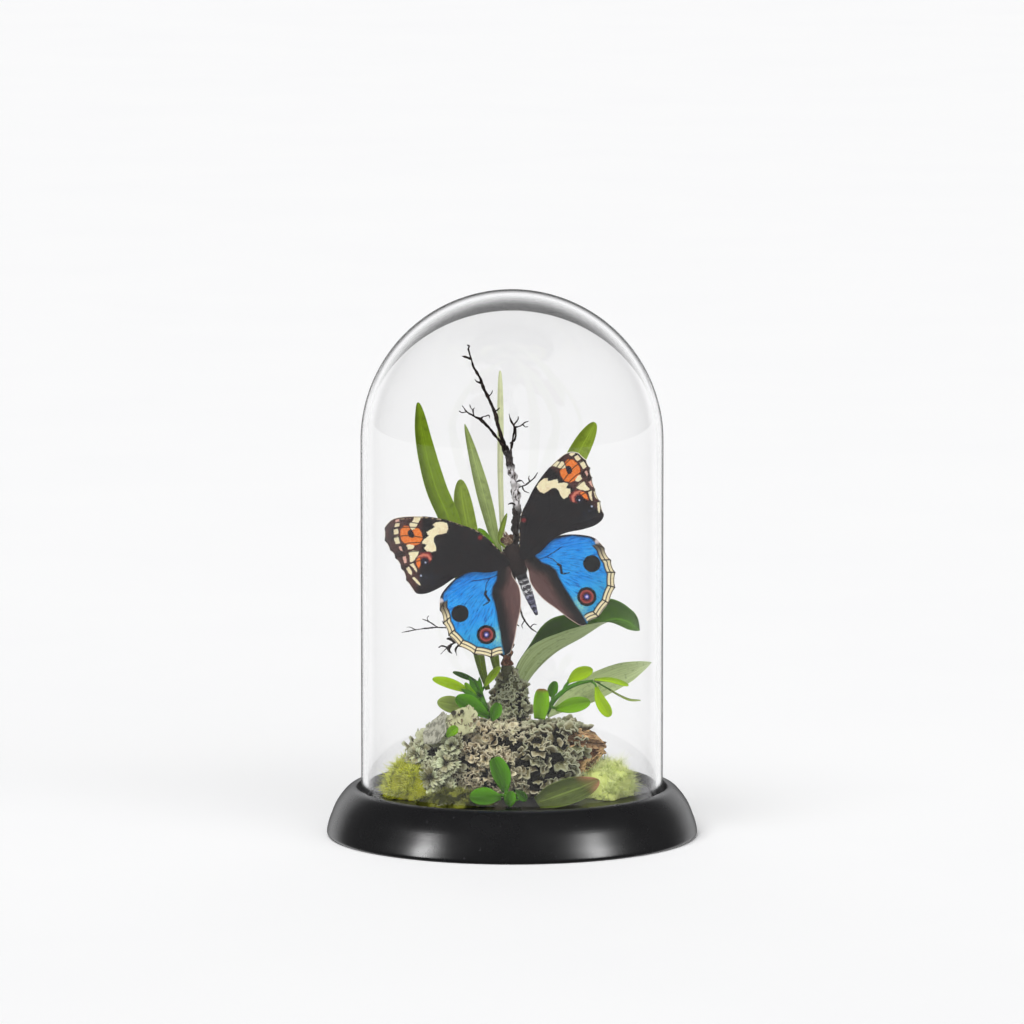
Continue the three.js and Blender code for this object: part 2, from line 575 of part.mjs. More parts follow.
// The ringed abdomen, drawn in between its segments and tapering to the tail.
function abdomenForm() {
  const rings = [];
  const steps = ABDOMEN.segments * 2;
  for (let i = 0; i <= steps; i += 1) {
    const t = i / steps;
    const forward = THREE.MathUtils.lerp(ABDOMEN.start, ABDOMEN.end, t);
    const pinch = i % 2 === 0 ? 0.88 : 1;
    const radius = ABDOMEN.radius * pinch * (1 - 0.75 * t ** 2.4);
    rings.push(Array.from({ length: 8 }, (_, k) => {
      const angle = (k / 8) * 2 * Math.PI;
      return onButterfly(radius * Math.cos(angle), forward, radius * Math.sin(angle));
    }));
  }
  return loftRings(rings, onButterfly(0, ABDOMEN.start, 0), onButterfly(0, ABDOMEN.end - 0.3, 0));
}

// One bent leg from the thorax back to just short of the twig.
function legForm(side, forward) {
  const points = [
    onButterfly(side * 0.8, forward, -0.6),
    onButterfly(side * 2, forward + 0.9, -3.2),
    onButterfly(side * 1.1, forward + 0.1, -5.2),
    onButterfly(side * 1.5, forward - 1.2, -6.6),
  ].map((p) => p.toArray());
  return taperedStem({ points, radii: [LEG_RADIUS, LEG_RADIUS * 0.8] }, FINE_SIDES);
}

function buildButterfly() {
  const eyes = Object.values(SIDES).map(({ sign }) => (
    bodyEgg(sign * EYE.lateral, EYE.forward, 0.1, [EYE.radius, EYE.radius, EYE.radius])));
  const legs = Object.values(SIDES).flatMap(({ sign }) => (
    LEG_FORWARD.map((forward) => legForm(sign, forward))));
  const body = joined([
    bodyEgg(0, 0.9, 0, THORAX_RADII),
    bodyEgg(0, HEAD.forward, 0, HEAD.radii),
    abdomenForm(),
    ...eyes,
    ...legs,
  ]);
  addPiece('butterfly_body', asGeometry(body), 0x3b2f2a, 0.95);
  const loose = asGeometry(joined([
    bodyEgg(0, 0.9, 0, THORAX_RADII.map((r) => r + GAP)),
    bodyEgg(0, -6, 0, [ABDOMEN.radius + GAP, ABDOMEN.radius + GAP, 7.6]),
  ]));
  Object.entries(SIDES).forEach(([sideName, { sign, turn, stretch }]) => {
    const fore = cutBy(wingPlate(FOREWING, sign, FOREWING_LIFT, turn, stretch), [loose]);
    addPiece(`forewing_${sideName}`, asGeometry(largestBody(fore)), 0x2a2022, 0.8);
    const hind = cutBy(wingPlate(HINDWING, sign, HINDWING_LIFT), [loose]);
    addPiece(`hindwing_${sideName}`, asGeometry(largestBody(hind)), 0x2f86d8, 0.7);
  });
}

buildBase();
buildDome();
buildLogAndMoss();
buildPlants();
buildButterfly();

export default part;
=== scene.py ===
"""A butterfly in a glass dome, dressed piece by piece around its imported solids."""

import math

import bpy
import numpy as np
from mathutils.geometry import delaunay_2d_cdt
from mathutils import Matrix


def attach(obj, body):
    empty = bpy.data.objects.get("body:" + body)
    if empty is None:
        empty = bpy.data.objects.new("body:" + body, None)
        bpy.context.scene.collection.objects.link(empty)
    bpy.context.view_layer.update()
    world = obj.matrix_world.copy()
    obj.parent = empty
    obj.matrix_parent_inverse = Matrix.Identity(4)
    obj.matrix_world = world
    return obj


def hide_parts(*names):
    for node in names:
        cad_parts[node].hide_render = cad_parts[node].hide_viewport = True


bl_info = {
    "name": "Insect in Glass Dome",
    "version": (1, 0, 0),
    "blender": (4, 5, 0),
    "location": "View3D > Sidebar > Glass Dome",
    "description": "Builds a spread butterfly, wood, lichen, moss and leaves under a glass dome",
    "category": "Object",
}

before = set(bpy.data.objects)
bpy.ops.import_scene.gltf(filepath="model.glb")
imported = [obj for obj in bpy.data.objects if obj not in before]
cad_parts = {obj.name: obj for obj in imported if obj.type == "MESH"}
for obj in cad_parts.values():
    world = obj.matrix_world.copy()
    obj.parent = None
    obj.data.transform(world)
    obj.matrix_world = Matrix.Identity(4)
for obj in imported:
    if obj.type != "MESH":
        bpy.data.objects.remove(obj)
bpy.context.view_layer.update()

MM = 0.001
TAU = 2 * math.pi
BED = 10.9  # height of the ground that the plants stand on, in mm


# ---------- settings
def linear(red, green, blue):
    """A colour given in screen values from 0 to 255, as Blender's linear colour."""
    def channel(value):
        value /= 255
        return value / 12.92 if value <= 0.04045 else ((value + 0.055) / 1.055) ** 2.4
    return channel(red), channel(green), channel(blue), 1.0


def colour(name, description, *screen):
    return bpy.props.FloatVectorProperty(
        name=name, description=description, subtype="COLOR", size=4, min=0, max=1,
        default=linear(*screen))


def length(name, description, millimetres):
    return bpy.props.FloatProperty(
        name=name, description=description, unit="LENGTH", min=0, default=millimetres * MM)


def angle(name, description, degrees):
    return bpy.props.FloatProperty(
        name=name, description=description, subtype="ANGLE", default=math.radians(degrees))


def amount(name, description, count):
    return bpy.props.IntProperty(name=name, description=description, min=1, default=count)


class StageSettings(bpy.types.PropertyGroup):
    floor: colour("Floor", "Colour of the floor and the surroundings", 250, 250, 250)
    camera_distance: length("Camera distance", "From the middle of the base's foot", 2000)
    camera_height: angle("Camera height", "Angle of the camera above the floor", 9.6)
    camera_tilt: angle("Camera tilt", "How far below level the camera looks", 7.36)
    lens: bpy.props.FloatProperty(
        name="Lens", description="Focal length of the camera in millimetres", default=289)


class BaseSettings(bpy.types.PropertyGroup):
    radius: length("Radius", "Radius of the foot", 45)
    lip: length("Lip", "Height of the rim around the groove", 12)
    lacquer: colour("Lacquer", "Colour of the black lacquer", 13, 13, 14)
    dust: colour("Dust", "Colour of the fine dust on flat places", 70, 70, 74)


class DomeSettings(bpy.types.PropertyGroup):
    radius: length("Radius", "Outer radius of the glass", 36.6)
    wall: length("Wall", "Thickness of the glass", 1.5)
    shoulder: length("Shoulder", "Height at which the wall turns into the round top", 96.2)
    tint: colour("Tint", "Colour of the glass", 255, 255, 255)


class ButterflySettings(bpy.types.PropertyGroup):
    dihedral: angle("Dihedral", "How far the wings rise towards their tips", 8)
    wing_thickness: length("Wing thickness", "Thickness of a wing", 0.16)
    blue: colour("Blue", "The hindwings' blue", 8, 146, 236)
    deep_blue: colour("Deep blue", "The fine streaks in the blue", 8, 88, 176)
    ground: colour("Ground", "The forewings' dark ground", 12, 10, 13)
    tip_brown: colour("Tip brown", "The forewings' brown tip", 74, 44, 42)
    cream: colour("Cream", "Cream bands and border", 244, 232, 190)
    orange: colour("Orange", "Rings around the forewings' eyespots", 238, 120, 40)
    eyespot_red: colour("Eyespot red", "Rings in the hindwings' eyespots", 134, 42, 46)
    underside: colour("Underside", "The wings' underside", 150, 128, 104)
    fur: colour("Fur", "Hairs of the thorax", 38, 30, 30)


class WoodSettings(bpy.types.PropertyGroup):
    twig: colour("Twig", "Dark bark of the twigs", 34, 27, 26)
    pale_bark: colour("Pale bark", "Whitish patches on the trunk", 224, 220, 222)
    bark: colour("Bark", "Bark and weathered wood of the log", 78, 42, 24)
    fresh_wood: colour("Fresh wood", "Splintered wood at the broken end", 238, 198, 146)


class LeafSettings(bpy.types.PropertyGroup):
    strap_green: colour("Strap green", "The tall leaf", 110, 136, 22)
    mid_green: colour("Mid green", "Strap leaves behind the wings", 136, 160, 48)
    grey_green: colour("Grey green", "The slim leaf", 150, 168, 98)
    faded_green: colour("Faded green", "The pale narrow leaf", 222, 228, 182)
    pale_green: colour("Pale green", "The side leaf and undersides", 176, 196, 118)
    bright_green: colour("Bright green", "Fleshy leaves", 98, 144, 0)
    lime_green: colour("Lime green", "The lightest fleshy leaves", 148, 184, 0)
    deep_green: colour("Deep green", "Deep fleshy leaves", 52, 96, 0)
    dark_green: colour("Dark green", "Shaded fleshy leaves", 34, 66, 4)
    olive_green: colour("Olive green", "The tucked leaf and the curl", 146, 166, 78)
    glossy_green: colour("Glossy green", "Upper side of the folded leaf", 80, 124, 30)
    dry_olive: colour("Dry olive", "The fallen leaf", 78, 90, 40)
    stem: colour("Stem", "Stems of the sprigs", 58, 104, 18)


class LichenSettings(bpy.types.PropertyGroup):
    sage: colour("Sage", "Grey-green lobes", 204, 212, 172)
    cream: colour("Cream", "Beige lobes", 246, 230, 190)
    flat_lobes: amount("Flat lobes", "Broad lobes at the log's left end", 110)
    crinkled_lobes: amount("Crinkled lobes", "Narrow lobes on the log's middle", 360)
    grey_lobes: amount("Grey lobes", "Lobes towards the log's broken end", 240)
    stump_lobes: amount("Stump lobes", "Small lobes on the stump", 200)


class MossSettings(bpy.types.PropertyGroup):
    lime: colour("Lime", "The left and front cushions", 222, 228, 70)
    pale: colour("Pale", "The right cushion", 248, 254, 184)
    tufts: amount("Tufts", "Tufts in a full cushion", 210)


# ---------- node materials
class Finish:
    """A node material that is put together in layers over a Principled shader.

    A socket is fed with a value, with a node's output, with the name of a number that the mesh
    carries at each point, or with the three screen values of a colour.
    """

    def __init__(self, name, **sockets):
        self.material = bpy.data.materials.new(name)
        self.material.use_nodes = True
        self.tree = self.material.node_tree
        self.shader = self.tree.nodes["Principled BSDF"]
        self.place = self.node("TexCoord").outputs["Object"]
        self.join(**sockets)

    def feed(self, socket, value):
        if isinstance(value, str):
            value = self.node("Attribute", attribute_name=value).outputs["Fac"]
        if isinstance(value, bpy.types.NodeSocket):
            self.tree.links.new(value, socket)
        elif isinstance(value, tuple) and len(value) == 3:
            socket.default_value = linear(*value)
        else:
            socket.default_value = value

    def node(self, kind, sockets=None, **settings):
        """A node with its own settings made, and its sockets fed by name or number."""
        node = self.tree.nodes.new("ShaderNode" + kind)
        for key, value in settings.items():
            setattr(node, key, value)
        for key, value in (sockets or {}).items():
            self.feed(node.inputs[key], value)
        return node

    def noise(self, size, detail=3.0, stretch=(1, 1, 1), place=None):
        """Soft spots from 0 to 1, about size mm across, or size units across in another place."""
        pace = 1 / MM if place is None else 1
        scale = [pace / (size * share) for share in stretch]
        mapping = self.node("Mapping", {"Vector": place or self.place, "Scale": scale})
        return self.node("TexNoise", {
            "Vector": mapping.outputs[0], "Scale": 1.0, "Detail": detail, "Roughness": 0.55}).outputs["Fac"]

    def flat(self, x, y, z=0.0):
        """A place from its three numbers."""
        return self.node("CombineXYZ", {"X": x, "Y": y, "Z": z}).outputs[0]

    def height(self, place):
        return self.node("SeparateXYZ", {"Vector": place}).outputs["Z"]

    def maths(self, operation, first, second=0.0):
        return self.node("Math", {0: first, 1: second}, operation=operation).outputs[0]

    def plus(self, first, second):
        return self.maths("ADD", first, second)

    def times(self, first, *others):
        for other in others:
            first = self.maths("MULTIPLY", first, other)
        return first

    def step(self, value, low, high, most=1.0, least=0.0):
        """A soft step from least at low to most at high; low may be the larger one."""
        return self.node("MapRange", {
            "Value": value, "From Min": low, "From Max": high, "To Min": least, "To Max": most,
        }, interpolation_type="SMOOTHSTEP").outputs[0]

    def blend(self, first, second, cover):
        """The first colour, turning into the second where cover is 1."""
        return self.node("Mix", {0: cover, 6: first, 7: second}, data_type="RGBA").outputs[2]

    def layers(self, paint, *coats):
        """A paint with coats over it, each a colour and how far it covers, from 0 to 1."""
        for coat, cover in coats:
            paint = self.blend(paint, coat, cover)
        return paint

    def bump(self, height, millimetres):
        return self.node("Bump", {
            "Height": height, "Distance": millimetres * MM, "Strength": 1.0}).outputs[0]

    def join(self, **sockets):
        """Feeds the shader's own sockets, whose names are given with _ for a space."""
        for key, value in sockets.items():
            self.feed(self.shader.inputs[key.replace("_", " ")], value)
        return self.material


# ---------- mesh forms
class Surface:
    """The points, faces and carried numbers of one piece, joined from several forms. Sizes are mm."""

    def __init__(self):
        self.points, self.faces, self.shares, self.count = [], [], [], 0

    def add(self, points, faces, **shares):
        """Adds a form. A number that it isn't given is 0 at its points."""
        points = np.asarray(points, float).reshape(-1, 3)
        self.points.append(points)
        self.faces += [np.asarray(group, int) + self.count for group in faces]
        self.shares.append({
            key: np.broadcast_to(np.asarray(value, float), (len(points),)) for key, value in shares.items()})
        self.count += len(points)
        return self

    def set_down(self, name, material):
        """Makes the mesh and its object."""
        mesh = bpy.data.meshes.new(name)
        faces = [row for group in self.faces for row in group.tolist()]
        mesh.from_pydata((np.vstack(self.points) * MM).tolist(), [], faces)
        for key in sorted({key for shares in self.shares for key in shares}):
            values = np.concatenate([
                shares.get(key, np.zeros(len(points))) for points, shares in zip(self.points, self.shares)])
            mesh.attributes.new(key, "FLOAT", "POINT").data.foreach_set("value", values)
        mesh.polygons.foreach_set("use_smooth", np.full(len(mesh.polygons), True))
        mesh.validate()
        mesh.update()
        mesh.materials.append(material)
        thing = bpy.data.objects.new(name, mesh)
        bpy.context.scene.collection.objects.link(thing)
        return thing

    def piece(self, name, material, slot, replaced=()):
        """Makes the piece, which rides on the body and stands for the solids it replaces."""
        piece = self.set_down(name, material)
        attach(piece, "root")
        if replaced:
            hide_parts(*replaced)
        return piece


def lit_by(name):
    """The group of pieces that some lamps light on their own."""
    return bpy.data.collections.get(name) or bpy.data.collections.new(name)


def unit(vectors):
    vectors = np.asarray(vectors, float)
    return vectors / np.linalg.norm(vectors, axis=-1, keepdims=True)


def smooth_line(points, shares, closed=False):
    """Places and directions at shares from 0 to 1 of a smooth line through points."""
    p = np.asarray(points, float)
    if closed:
        p = np.vstack([p[-1:], p, p[:2]])
    else:
        p = np.vstack([2 * p[:1] - p[1:2], p, 2 * p[-1:] - p[-2:-1]])
    spans = len(p) - 3
    reach = np.clip(np.asarray(shares, float), 0, 1) * spans
    first = np.minimum(reach.astype(int), spans - 1)
    u = (reach - first)[:, None]
    a, b, c, d = (p[first + k] for k in range(4))
    square, cube = 2 * a - 5 * b + 4 * c - d, 3 * b - a - 3 * c + d
    place = 0.5 * (2 * b + (c - a) * u + square * u ** 2 + cube * u ** 3)
    slope = 0.5 * ((c - a) + 2 * square * u + 3 * cube * u ** 2)
    return place, unit(slope)


def ripple(points, size, seed, waves=7):
    """A lumpy pattern from about -1 to 1, with lumps about size mm across."""
    rng = np.random.default_rng(seed)
    total = np.zeros(points.shape[:-1])
    for _ in range(waves):
        heading = unit(rng.normal(size=3))
        pace = TAU / size * rng.uniform(0.6, 1.5)
        total += np.sin(points @ heading * pace + rng.uniform(0, TAU))
    return total / waves * 1.8


def grid_faces(rows, columns, wrap=False, start=0, flip=False):
    """The four-sided faces of a grid of points."""
    row, column = np.meshgrid(
        np.arange(rows - 1), np.arange(columns if wrap else columns - 1), indexing="ij")
    after = (column + 1) % columns
    corners = [row * columns + column, row * columns + after,
               (row + 1) * columns + after, (row + 1) * columns + column]
    faces = np.stack(corners, axis=-1).reshape(-1, 4) + start
    return faces[:, ::-1] if flip else faces


def capped_tube(rings):
    """Points and faces of a closed tube through rings of points (stations, sides, 3)."""
    stations, sides = rings.shape[:2]
    ends = np.stack([rings[0].mean(0), rings[-1].mean(0)])
    points = np.vstack([rings.reshape(-1, 3), ends])
    k = np.arange(sides)
    after = (k + 1) % sides
    start, end = stations * sides, stations * sides + 1
    last = (stations - 1) * sides
    caps = np.vstack([
        np.stack([np.full(sides, start), after, k], axis=1),
        np.stack([np.full(sides, end), last + k, last + after], axis=1)])
    return points, [grid_faces(stations, sides, wrap=True), caps]


def section_axes(along, facing):
    """Axes across and up at each station, up towards the facing direction."""
    facing = np.broadcast_to(np.asarray(facing, float), along.shape)
    up = unit(facing - along * (facing * along).sum(1, keepdims=True))
    return np.cross(up, along), up


def stem(points, radii, sides=10, fineness=1.6, knobs=0.0, seed=1):
    """A round stem along a smooth line, with knobs as a share of its radius."""
    p = np.asarray(points, float)
    span = np.linalg.norm(np.diff(p, axis=0), axis=1).sum()
    t = np.linspace(0, 1, max(5, int(span * fineness)))
    place, along = smooth_line(p, t)
    across, up = section_axes(along, unit([0.2, -1, 0.15]))
    angle = np.arange(sides) / sides * TAU
    around = (np.cos(angle)[None, :, None] * across[:, None]
              + np.sin(angle)[None, :, None] * up[:, None])
    radius = np.interp(t, np.linspace(0, 1, len(radii)), radii)[:, None, None]
    rings = place[:, None] + around * radius
    if knobs:
        swell = ripple(rings, 1.9, seed) + 0.5 * ripple(rings, 0.8, seed + 1)
        rings = rings + around * radius * knobs * swell[..., None]
    points, faces = capped_tube(rings)
    return points, faces, np.append(np.repeat(t, sides), [0, 1])


def shell(top, bottom):
    """A closed sheet from two grids of points (rows, columns, 3) that lie over each other."""
    rows, columns = top.shape[:2]
    count = rows * columns
    index = np.arange(count).reshape(rows, columns)
    rim = np.concatenate([index[0, :-1], index[:-1, -1], index[-1, :0:-1], index[:0:-1, 0]])
    after = np.roll(rim, -1)
    sides = np.stack([after, rim, rim + count, after + count], axis=1)
    points = np.vstack([top.reshape(-1, 3), bottom.reshape(-1, 3)])
    return points, [grid_faces(rows, columns), grid_faces(rows, columns, start=count, flip=True), sides]


def turned(profile, segments):
    """Points and faces of a turned form from a profile of (radius, height) pairs."""
    profile = np.asarray(profile, float)
    angle = np.arange(segments) / segments * TAU
    rings = np.stack([
        profile[:, :1] * np.cos(angle), profile[:, :1] * np.sin(angle),
        np.repeat(profile[:, 1:], segments, axis=1)], axis=-1)
    return capped_tube(rings)


def hairs(roots, headings, lengths, radius, bend, taper=0.25, stations=4, sides=3):
    """Many fine hairs as one form: points, faces and the share of each point along its hair."""
    count = len(roots)
    headings = unit(headings)
    side = unit(np.cross(headings, [0.31, 0.52, 0.79]))
    other = np.cross(headings, side)
    t = np.linspace(0, 1, stations)
    spine = (roots[:, None] + headings[:, None] * (lengths[:, None] * t)[..., None]
             + bend[:, None] * (lengths[:, None] * t ** 2)[..., None])
    girth = radius * (1 - (1 - taper) * t)
    angle = np.arange(sides) / sides * TAU
    around = (np.cos(angle)[None, :, None] * side[:, None]
              + np.sin(angle)[None, :, None] * other[:, None])
    points = spine[:, :, None] + around[:, None] * girth[None, :, None, None]
    body = grid_faces(stations, sides, wrap=True)
    first = np.arange(sides)
    offset = (np.arange(count) * stations * sides)[:, None, None]
    walls = (body[None] + offset).reshape(-1, 4)
    ends = np.stack([first[::-1], (stations - 1) * sides + first])
    caps = (ends[None] + offset).reshape(-1, sides)
    share = np.tile(np.repeat(t, sides), count)
    return points.reshape(-1, 3), [walls, caps], share


def scatter(points, faces, count, rng, keep=None):
    """Random places on a form with their outward directions, evenly over its area."""
    quads = np.vstack([group for group in faces if group.shape[1] == 4])
    corners = points[quads]
    normal = np.cross(corners[:, 2] - corners[:, 0], corners[:, 3] - corners[:, 1])
    area = np.linalg.norm(normal, axis=1)
    if keep is not None:
        area = area * keep(corners.mean(1), normal / np.maximum(area, 1e-9)[:, None])
    chosen = rng.choice(len(quads), size=count, p=area / area.sum())
    u, v = rng.random((2, count, 1))
    a, b, c, d = (corners[chosen, k] for k in range(4))
    places = (a * (1 - u) + b * u) * (1 - v) + (d * (1 - u) + c * u) * v
    return places, unit(normal[chosen])


# ---------- stage
FLOOR_RINGS = [(0.001, 0), (150, 0), (400, 0), (1200, 0), (9000, 0)]
SUNS = {  # turn in degrees, strength and spread in degrees
    "soft_overhead": ((34, 0, -30), 2.75, 45),
    "soft_front": ((66, 0, 30), 1.35, 60),
}
STRIPS = {"strip_left": (-0.62, -0.42, 0.12), "strip_right": (0.56, -0.42, 0.12)}  # places in metres
STRIP_SIZE, STRIP_WATTS, STRIP_AIM = (0.12, 0.5), 5, (0, 0, 0.06)
RING_TILT = 0.128  # the middle of the ring of light lies this far below level, in radians
# Levels of light in the room, from in front (0) to straight behind the dome (1).
ROOM_LIGHT = (
    (0.0, 0.03), (0.5, 0.06), (0.82, 0.1), (0.885, 1.0), (0.962, 1.0), (0.982, 0.06), (1.0, 0.06))


class DOME_OT_stage(bpy.types.Operator):
    """Lays the pale floor and sets the soft lights and the camera"""
    bl_idname = "dome.stage"
    bl_label = "Stage"

    def execute(self, context):
        settings = context.scene.dome.stage
        self.floor(settings)
        self.room(context.scene)
        for name, (turn, strength, spread) in SUNS.items():
            self.sun(name, turn, strength, spread)
        for name, place in STRIPS.items():
            self.strip(name, place)
        self.camera(context.scene, settings)
        context.scene.view_settings.view_transform = "Standard"
        return {"FINISHED"}

    @staticmethod
    def floor(settings):
        finish = Finish("pale_floor", Roughness=0.9, Specular_IOR_Level=0.0)
        material = finish.join(
            Base_Color=finish.blend(settings.floor, (247, 247, 248), finish.noise(90, 2)))
        points, (rings, _) = turned(FLOOR_RINGS, 96)
        around = points[:-2]
        sheet = Surface().add(around, [rings]).set_down("floor", material)
        sheet.visible_glossy = False

    @staticmethod
    def room(scene):
        """A dim room with a ring of soft light around its back, which draws the glass."""
        world = bpy.data.worlds.new("soft_room")
        world.use_nodes = True
        nodes, links = world.node_tree.nodes, world.node_tree.links
        place = nodes.new("ShaderNodeTexCoord")
        towards = nodes.new("ShaderNodeVectorMath")
        towards.operation = "DOT_PRODUCT"
        towards.inputs[1].default_value = (0, math.cos(RING_TILT), -math.sin(RING_TILT))
        share = nodes.new("ShaderNodeMath")
        share.operation = "MULTIPLY_ADD"
        share.inputs[1].default_value = share.inputs[2].default_value = 0.5
        ring = nodes.new("ShaderNodeValToRGB")
        stops = ring.color_ramp.elements
        for reach, _ in ROOM_LIGHT[1:-1]:
            stops.new(reach)
        for stop, (_, level) in zip(stops, ROOM_LIGHT):
            stop.color = (level, level, level * 1.01, 1)
        links.new(place.outputs["Generated"], towards.inputs[0])
        links.new(towards.outputs["Value"], share.inputs[0])
        links.new(share.outputs[0], ring.inputs["Fac"])
        links.new(ring.outputs["Color"], nodes["Background"].inputs["Color"])
        scene.world = world

    @staticmethod
    def lamp(name, light):
        lamp = bpy.data.objects.new(name, light)
        bpy.context.scene.collection.objects.link(lamp)
        return lamp

    def sun(self, name, turn, strength, spread):
        light = bpy.data.lights.new(name, "SUN")
        light.energy = strength
        light.angle = math.radians(spread)
        lamp = self.lamp(name, light)
        lamp.rotation_euler = [math.radians(angle) for angle in turn]
        lamp.visible_glossy = lamp.visible_transmission = False

    def strip(self, name, place):
        """A tall soft lamp that only the base reflects."""
        light = bpy.data.lights.new(name, "AREA")
        light.shape = "RECTANGLE"
        light.size, light.size_y = STRIP_SIZE
        light.energy = STRIP_WATTS
        lamp = self.lamp(name, light)
        lamp.light_linking.receiver_collection = lit_by("strip_lamps")
        lamp.location = place
        x, y, z = np.array(STRIP_AIM) - place
        lamp.rotation_euler = (math.atan2(math.hypot(x, y), -z), 0, math.atan2(y, x) - math.pi / 2)

    @staticmethod
    def camera(scene, settings):
        camera = bpy.data.cameras.new("camera")
        camera.lens = settings.lens
        camera.sensor_width = 36
        camera.clip_end = 100
        viewer = bpy.data.objects.new("camera", camera)
        height, distance = settings.camera_height, settings.camera_distance
        viewer.location = (0, -distance * math.cos(height), distance * math.sin(height))
        viewer.rotation_euler = (math.pi / 2 - settings.camera_tilt, 0, 0)
        scene.collection.objects.link(viewer)
        scene.camera = viewer


# ---------- base and dome
# Stretches of the base's outline from its middle, as (radius, height).
BASE_UNDER = [(0.2, 0), (20, 0), (40, 0)]
BASE_GROOVE = [
    (37.75, 11.92), (37.62, 11.7), (37.6, 9.15), (37.45, 9), (34.35, 9), (34.2, 9.15),
    (34.18, 10.1), (33.95, 10.42), (33.4, 10.6), (32.2, 10.62)]
BASE_DISC = [(radius, 10.6) for radius in (28, 20, 12, 5, 0.2)]
BASE_SEGMENTS, DOME_SEGMENTS = 180, 144
FOOT, FOOT_CURVE, WALL_FROM = 9.32, 9.6, 10.2  # heights of the glass foot and where its wall begins
FOOT_EDGE = 0.25  # how far the foot is rounded off on each side
POLE = 0.05  # radius at which the dome's top closes


class DOME_OT_base(bpy.types.Operator):
    """Turns the black lacquered foot with its groove and disc"""
    bl_idname = "dome.base"
    bl_label = "Base"

    def execute(self, context):
        settings = context.scene.dome.base
        radius, lip = settings.radius / MM, settings.lip / MM
        rim = [
            (radius - 1.2, 0), (radius - 0.5, 0.12), (radius - 0.05, 0.7), (radius - 0.1, 1.6),
            (radius - 0.4, 3), (radius - 1.1, 5), (radius - 2, 7.2), (radius - 3.1, 9),
            (radius - 4.4, 10.6), (radius - 5.4, 11.5), (radius - 6.2, lip - 0.12), (radius - 6.9, lip)]
        edge, _ = smooth_line(rim, np.linspace(0, 1, 46))
        form = turned(BASE_UNDER + edge.tolist() + BASE_GROOVE + BASE_DISC, BASE_SEGMENTS)
        foot = Surface().add(*form).piece("black_base", self.finish(settings), "black_lacquer", ("base",))
        lit_by("strip_lamps").objects.link(foot)
        return {"FINISHED"}

    @staticmethod
    def finish(settings):
        finish = Finish("black_lacquer", Specular_IOR_Level=0.5)
        cloud = finish.noise(16, 5)
        specks = finish.step(finish.noise(0.9, 1), 0.72, 0.78)
        level = finish.step(finish.height(finish.node("NewGeometry").outputs["Normal"]), 0.8, 1.0)
        coat = finish.layers(
            settings.lacquer,
            ((21, 21, 22), cloud),
            (settings.dust, finish.times(level, finish.step(cloud, 0.3, 0.75, 0.4, 0.05))),
            (settings.dust, finish.times(specks, 0.18)))
        turning_marks = finish.noise(5, 2, stretch=(40, 40, 0.05))
        relief = finish.plus(finish.times(finish.noise(0.35, 2), 0.3), turning_marks)
        return finish.join(
            Base_Color=coat, Roughness=finish.step(cloud, 0.2, 0.8, 0.32, 0.23),
            Normal=finish.bump(relief, 0.012))


class DOME_OT_glass(bpy.types.Operator):
    """Blows the clear dome that stands in the groove"""
    bl_idname = "dome.glass"
    bl_label = "Glass dome"

    def execute(self, context):
        settings = context.scene.dome.glass
        outer = settings.radius / MM
        inner = outer - settings.wall / MM
        shoulder = settings.shoulder / MM
        arc = np.linspace(0, math.pi / 2, 49)[:-1]
        rise = np.linspace(WALL_FROM, shoulder, 30)[:-1]

        def wall(radius):
            return [(radius, z) for z in rise] + [
                (radius * math.cos(a), shoulder + radius * math.sin(a)) for a in arc]
        foot = [
            (inner, FOOT_CURVE), (inner + FOOT_EDGE, FOOT),
            (outer - FOOT_EDGE, FOOT), (outer, FOOT_CURVE)]
        inside = [(POLE, shoulder + inner)] + wall(inner)[::-1]
        outside = wall(outer) + [(POLE, shoulder + outer)]
        form = turned(inside + foot + outside, DOME_SEGMENTS)
        finish = Finish(
            "clear_glass", Base_Color=settings.tint, Roughness=0.012, IOR=1.45, Transmission_Weight=1.0)
        material = finish.join(Normal=finish.bump(finish.noise(60, 1), 0.02))
        dome = Surface().add(*form).piece("dome_glass", material, "clear_glass", ("glass_dome",))
        dome.visible_shadow = False
        return {"FINISHED"}


# ---------- butterfly
THORAX = np.array([1.2, -6.0, 67.0])
HEADING = math.radians(111)  # the head's direction in the upright plane
HINGE = np.array([2.2, 2.0])
SIDES = {  # sign, turn of the forewing towards the head, stretch of the forewing
    "left": (-1, math.radians(-1.6), 1.03),
    "right": (1, math.radians(1.4), 0.975),
}
ACROSS = np.array([math.sin(HEADING), 0, -math.cos(HEADING)])
AHEAD = np.array([math.cos(HEADING), 0, math.sin(HEADING)])
# Outlines as (lateral, forward) distances from the thorax's middle, and the tips of the
# scallops on the outer edge.
FOREWING = [
    (1.6, 0.9), (2.1, 3.8), (5.2, 10.6), (8.6, 14), (11.8, 16.7), (16.6, 19.6), (21.5, 21.4),
    (24.2, 20.9), (25.8, 19), (26.2, 16.4), (25.7, 13.2), (25.3, 9.6), (25.3, 6.6), (24.6, 3.6),
    (22.3, 2.3), (18.6, 2.3), (14.2, 3), (10.5, 2.6), (6, 0.8)]
FOREWING_TEETH = [
    (25.2, 20.3), (26.5, 18), (25.9, 15.5), (25.7, 13.2), (25.5, 10.3), (25.3, 7.2), (24.5, 3.9)]
HINDWING = [
    (1.8, 0.9), (6.3, 2), (11, 3.1), (15.2, 2.3), (19.4, 0.2), (21, -2.3), (21.8, -6),
    (21.7, -10), (20.3, -13.4), (17.5, -16.6), (14, -18.9), (11.5, -19.2), (9.4, -19.4),
    (7.4, -17.2), (5.2, -13.6), (2.8, -9.8), (1.5, -5.6), (2, -2.2)]
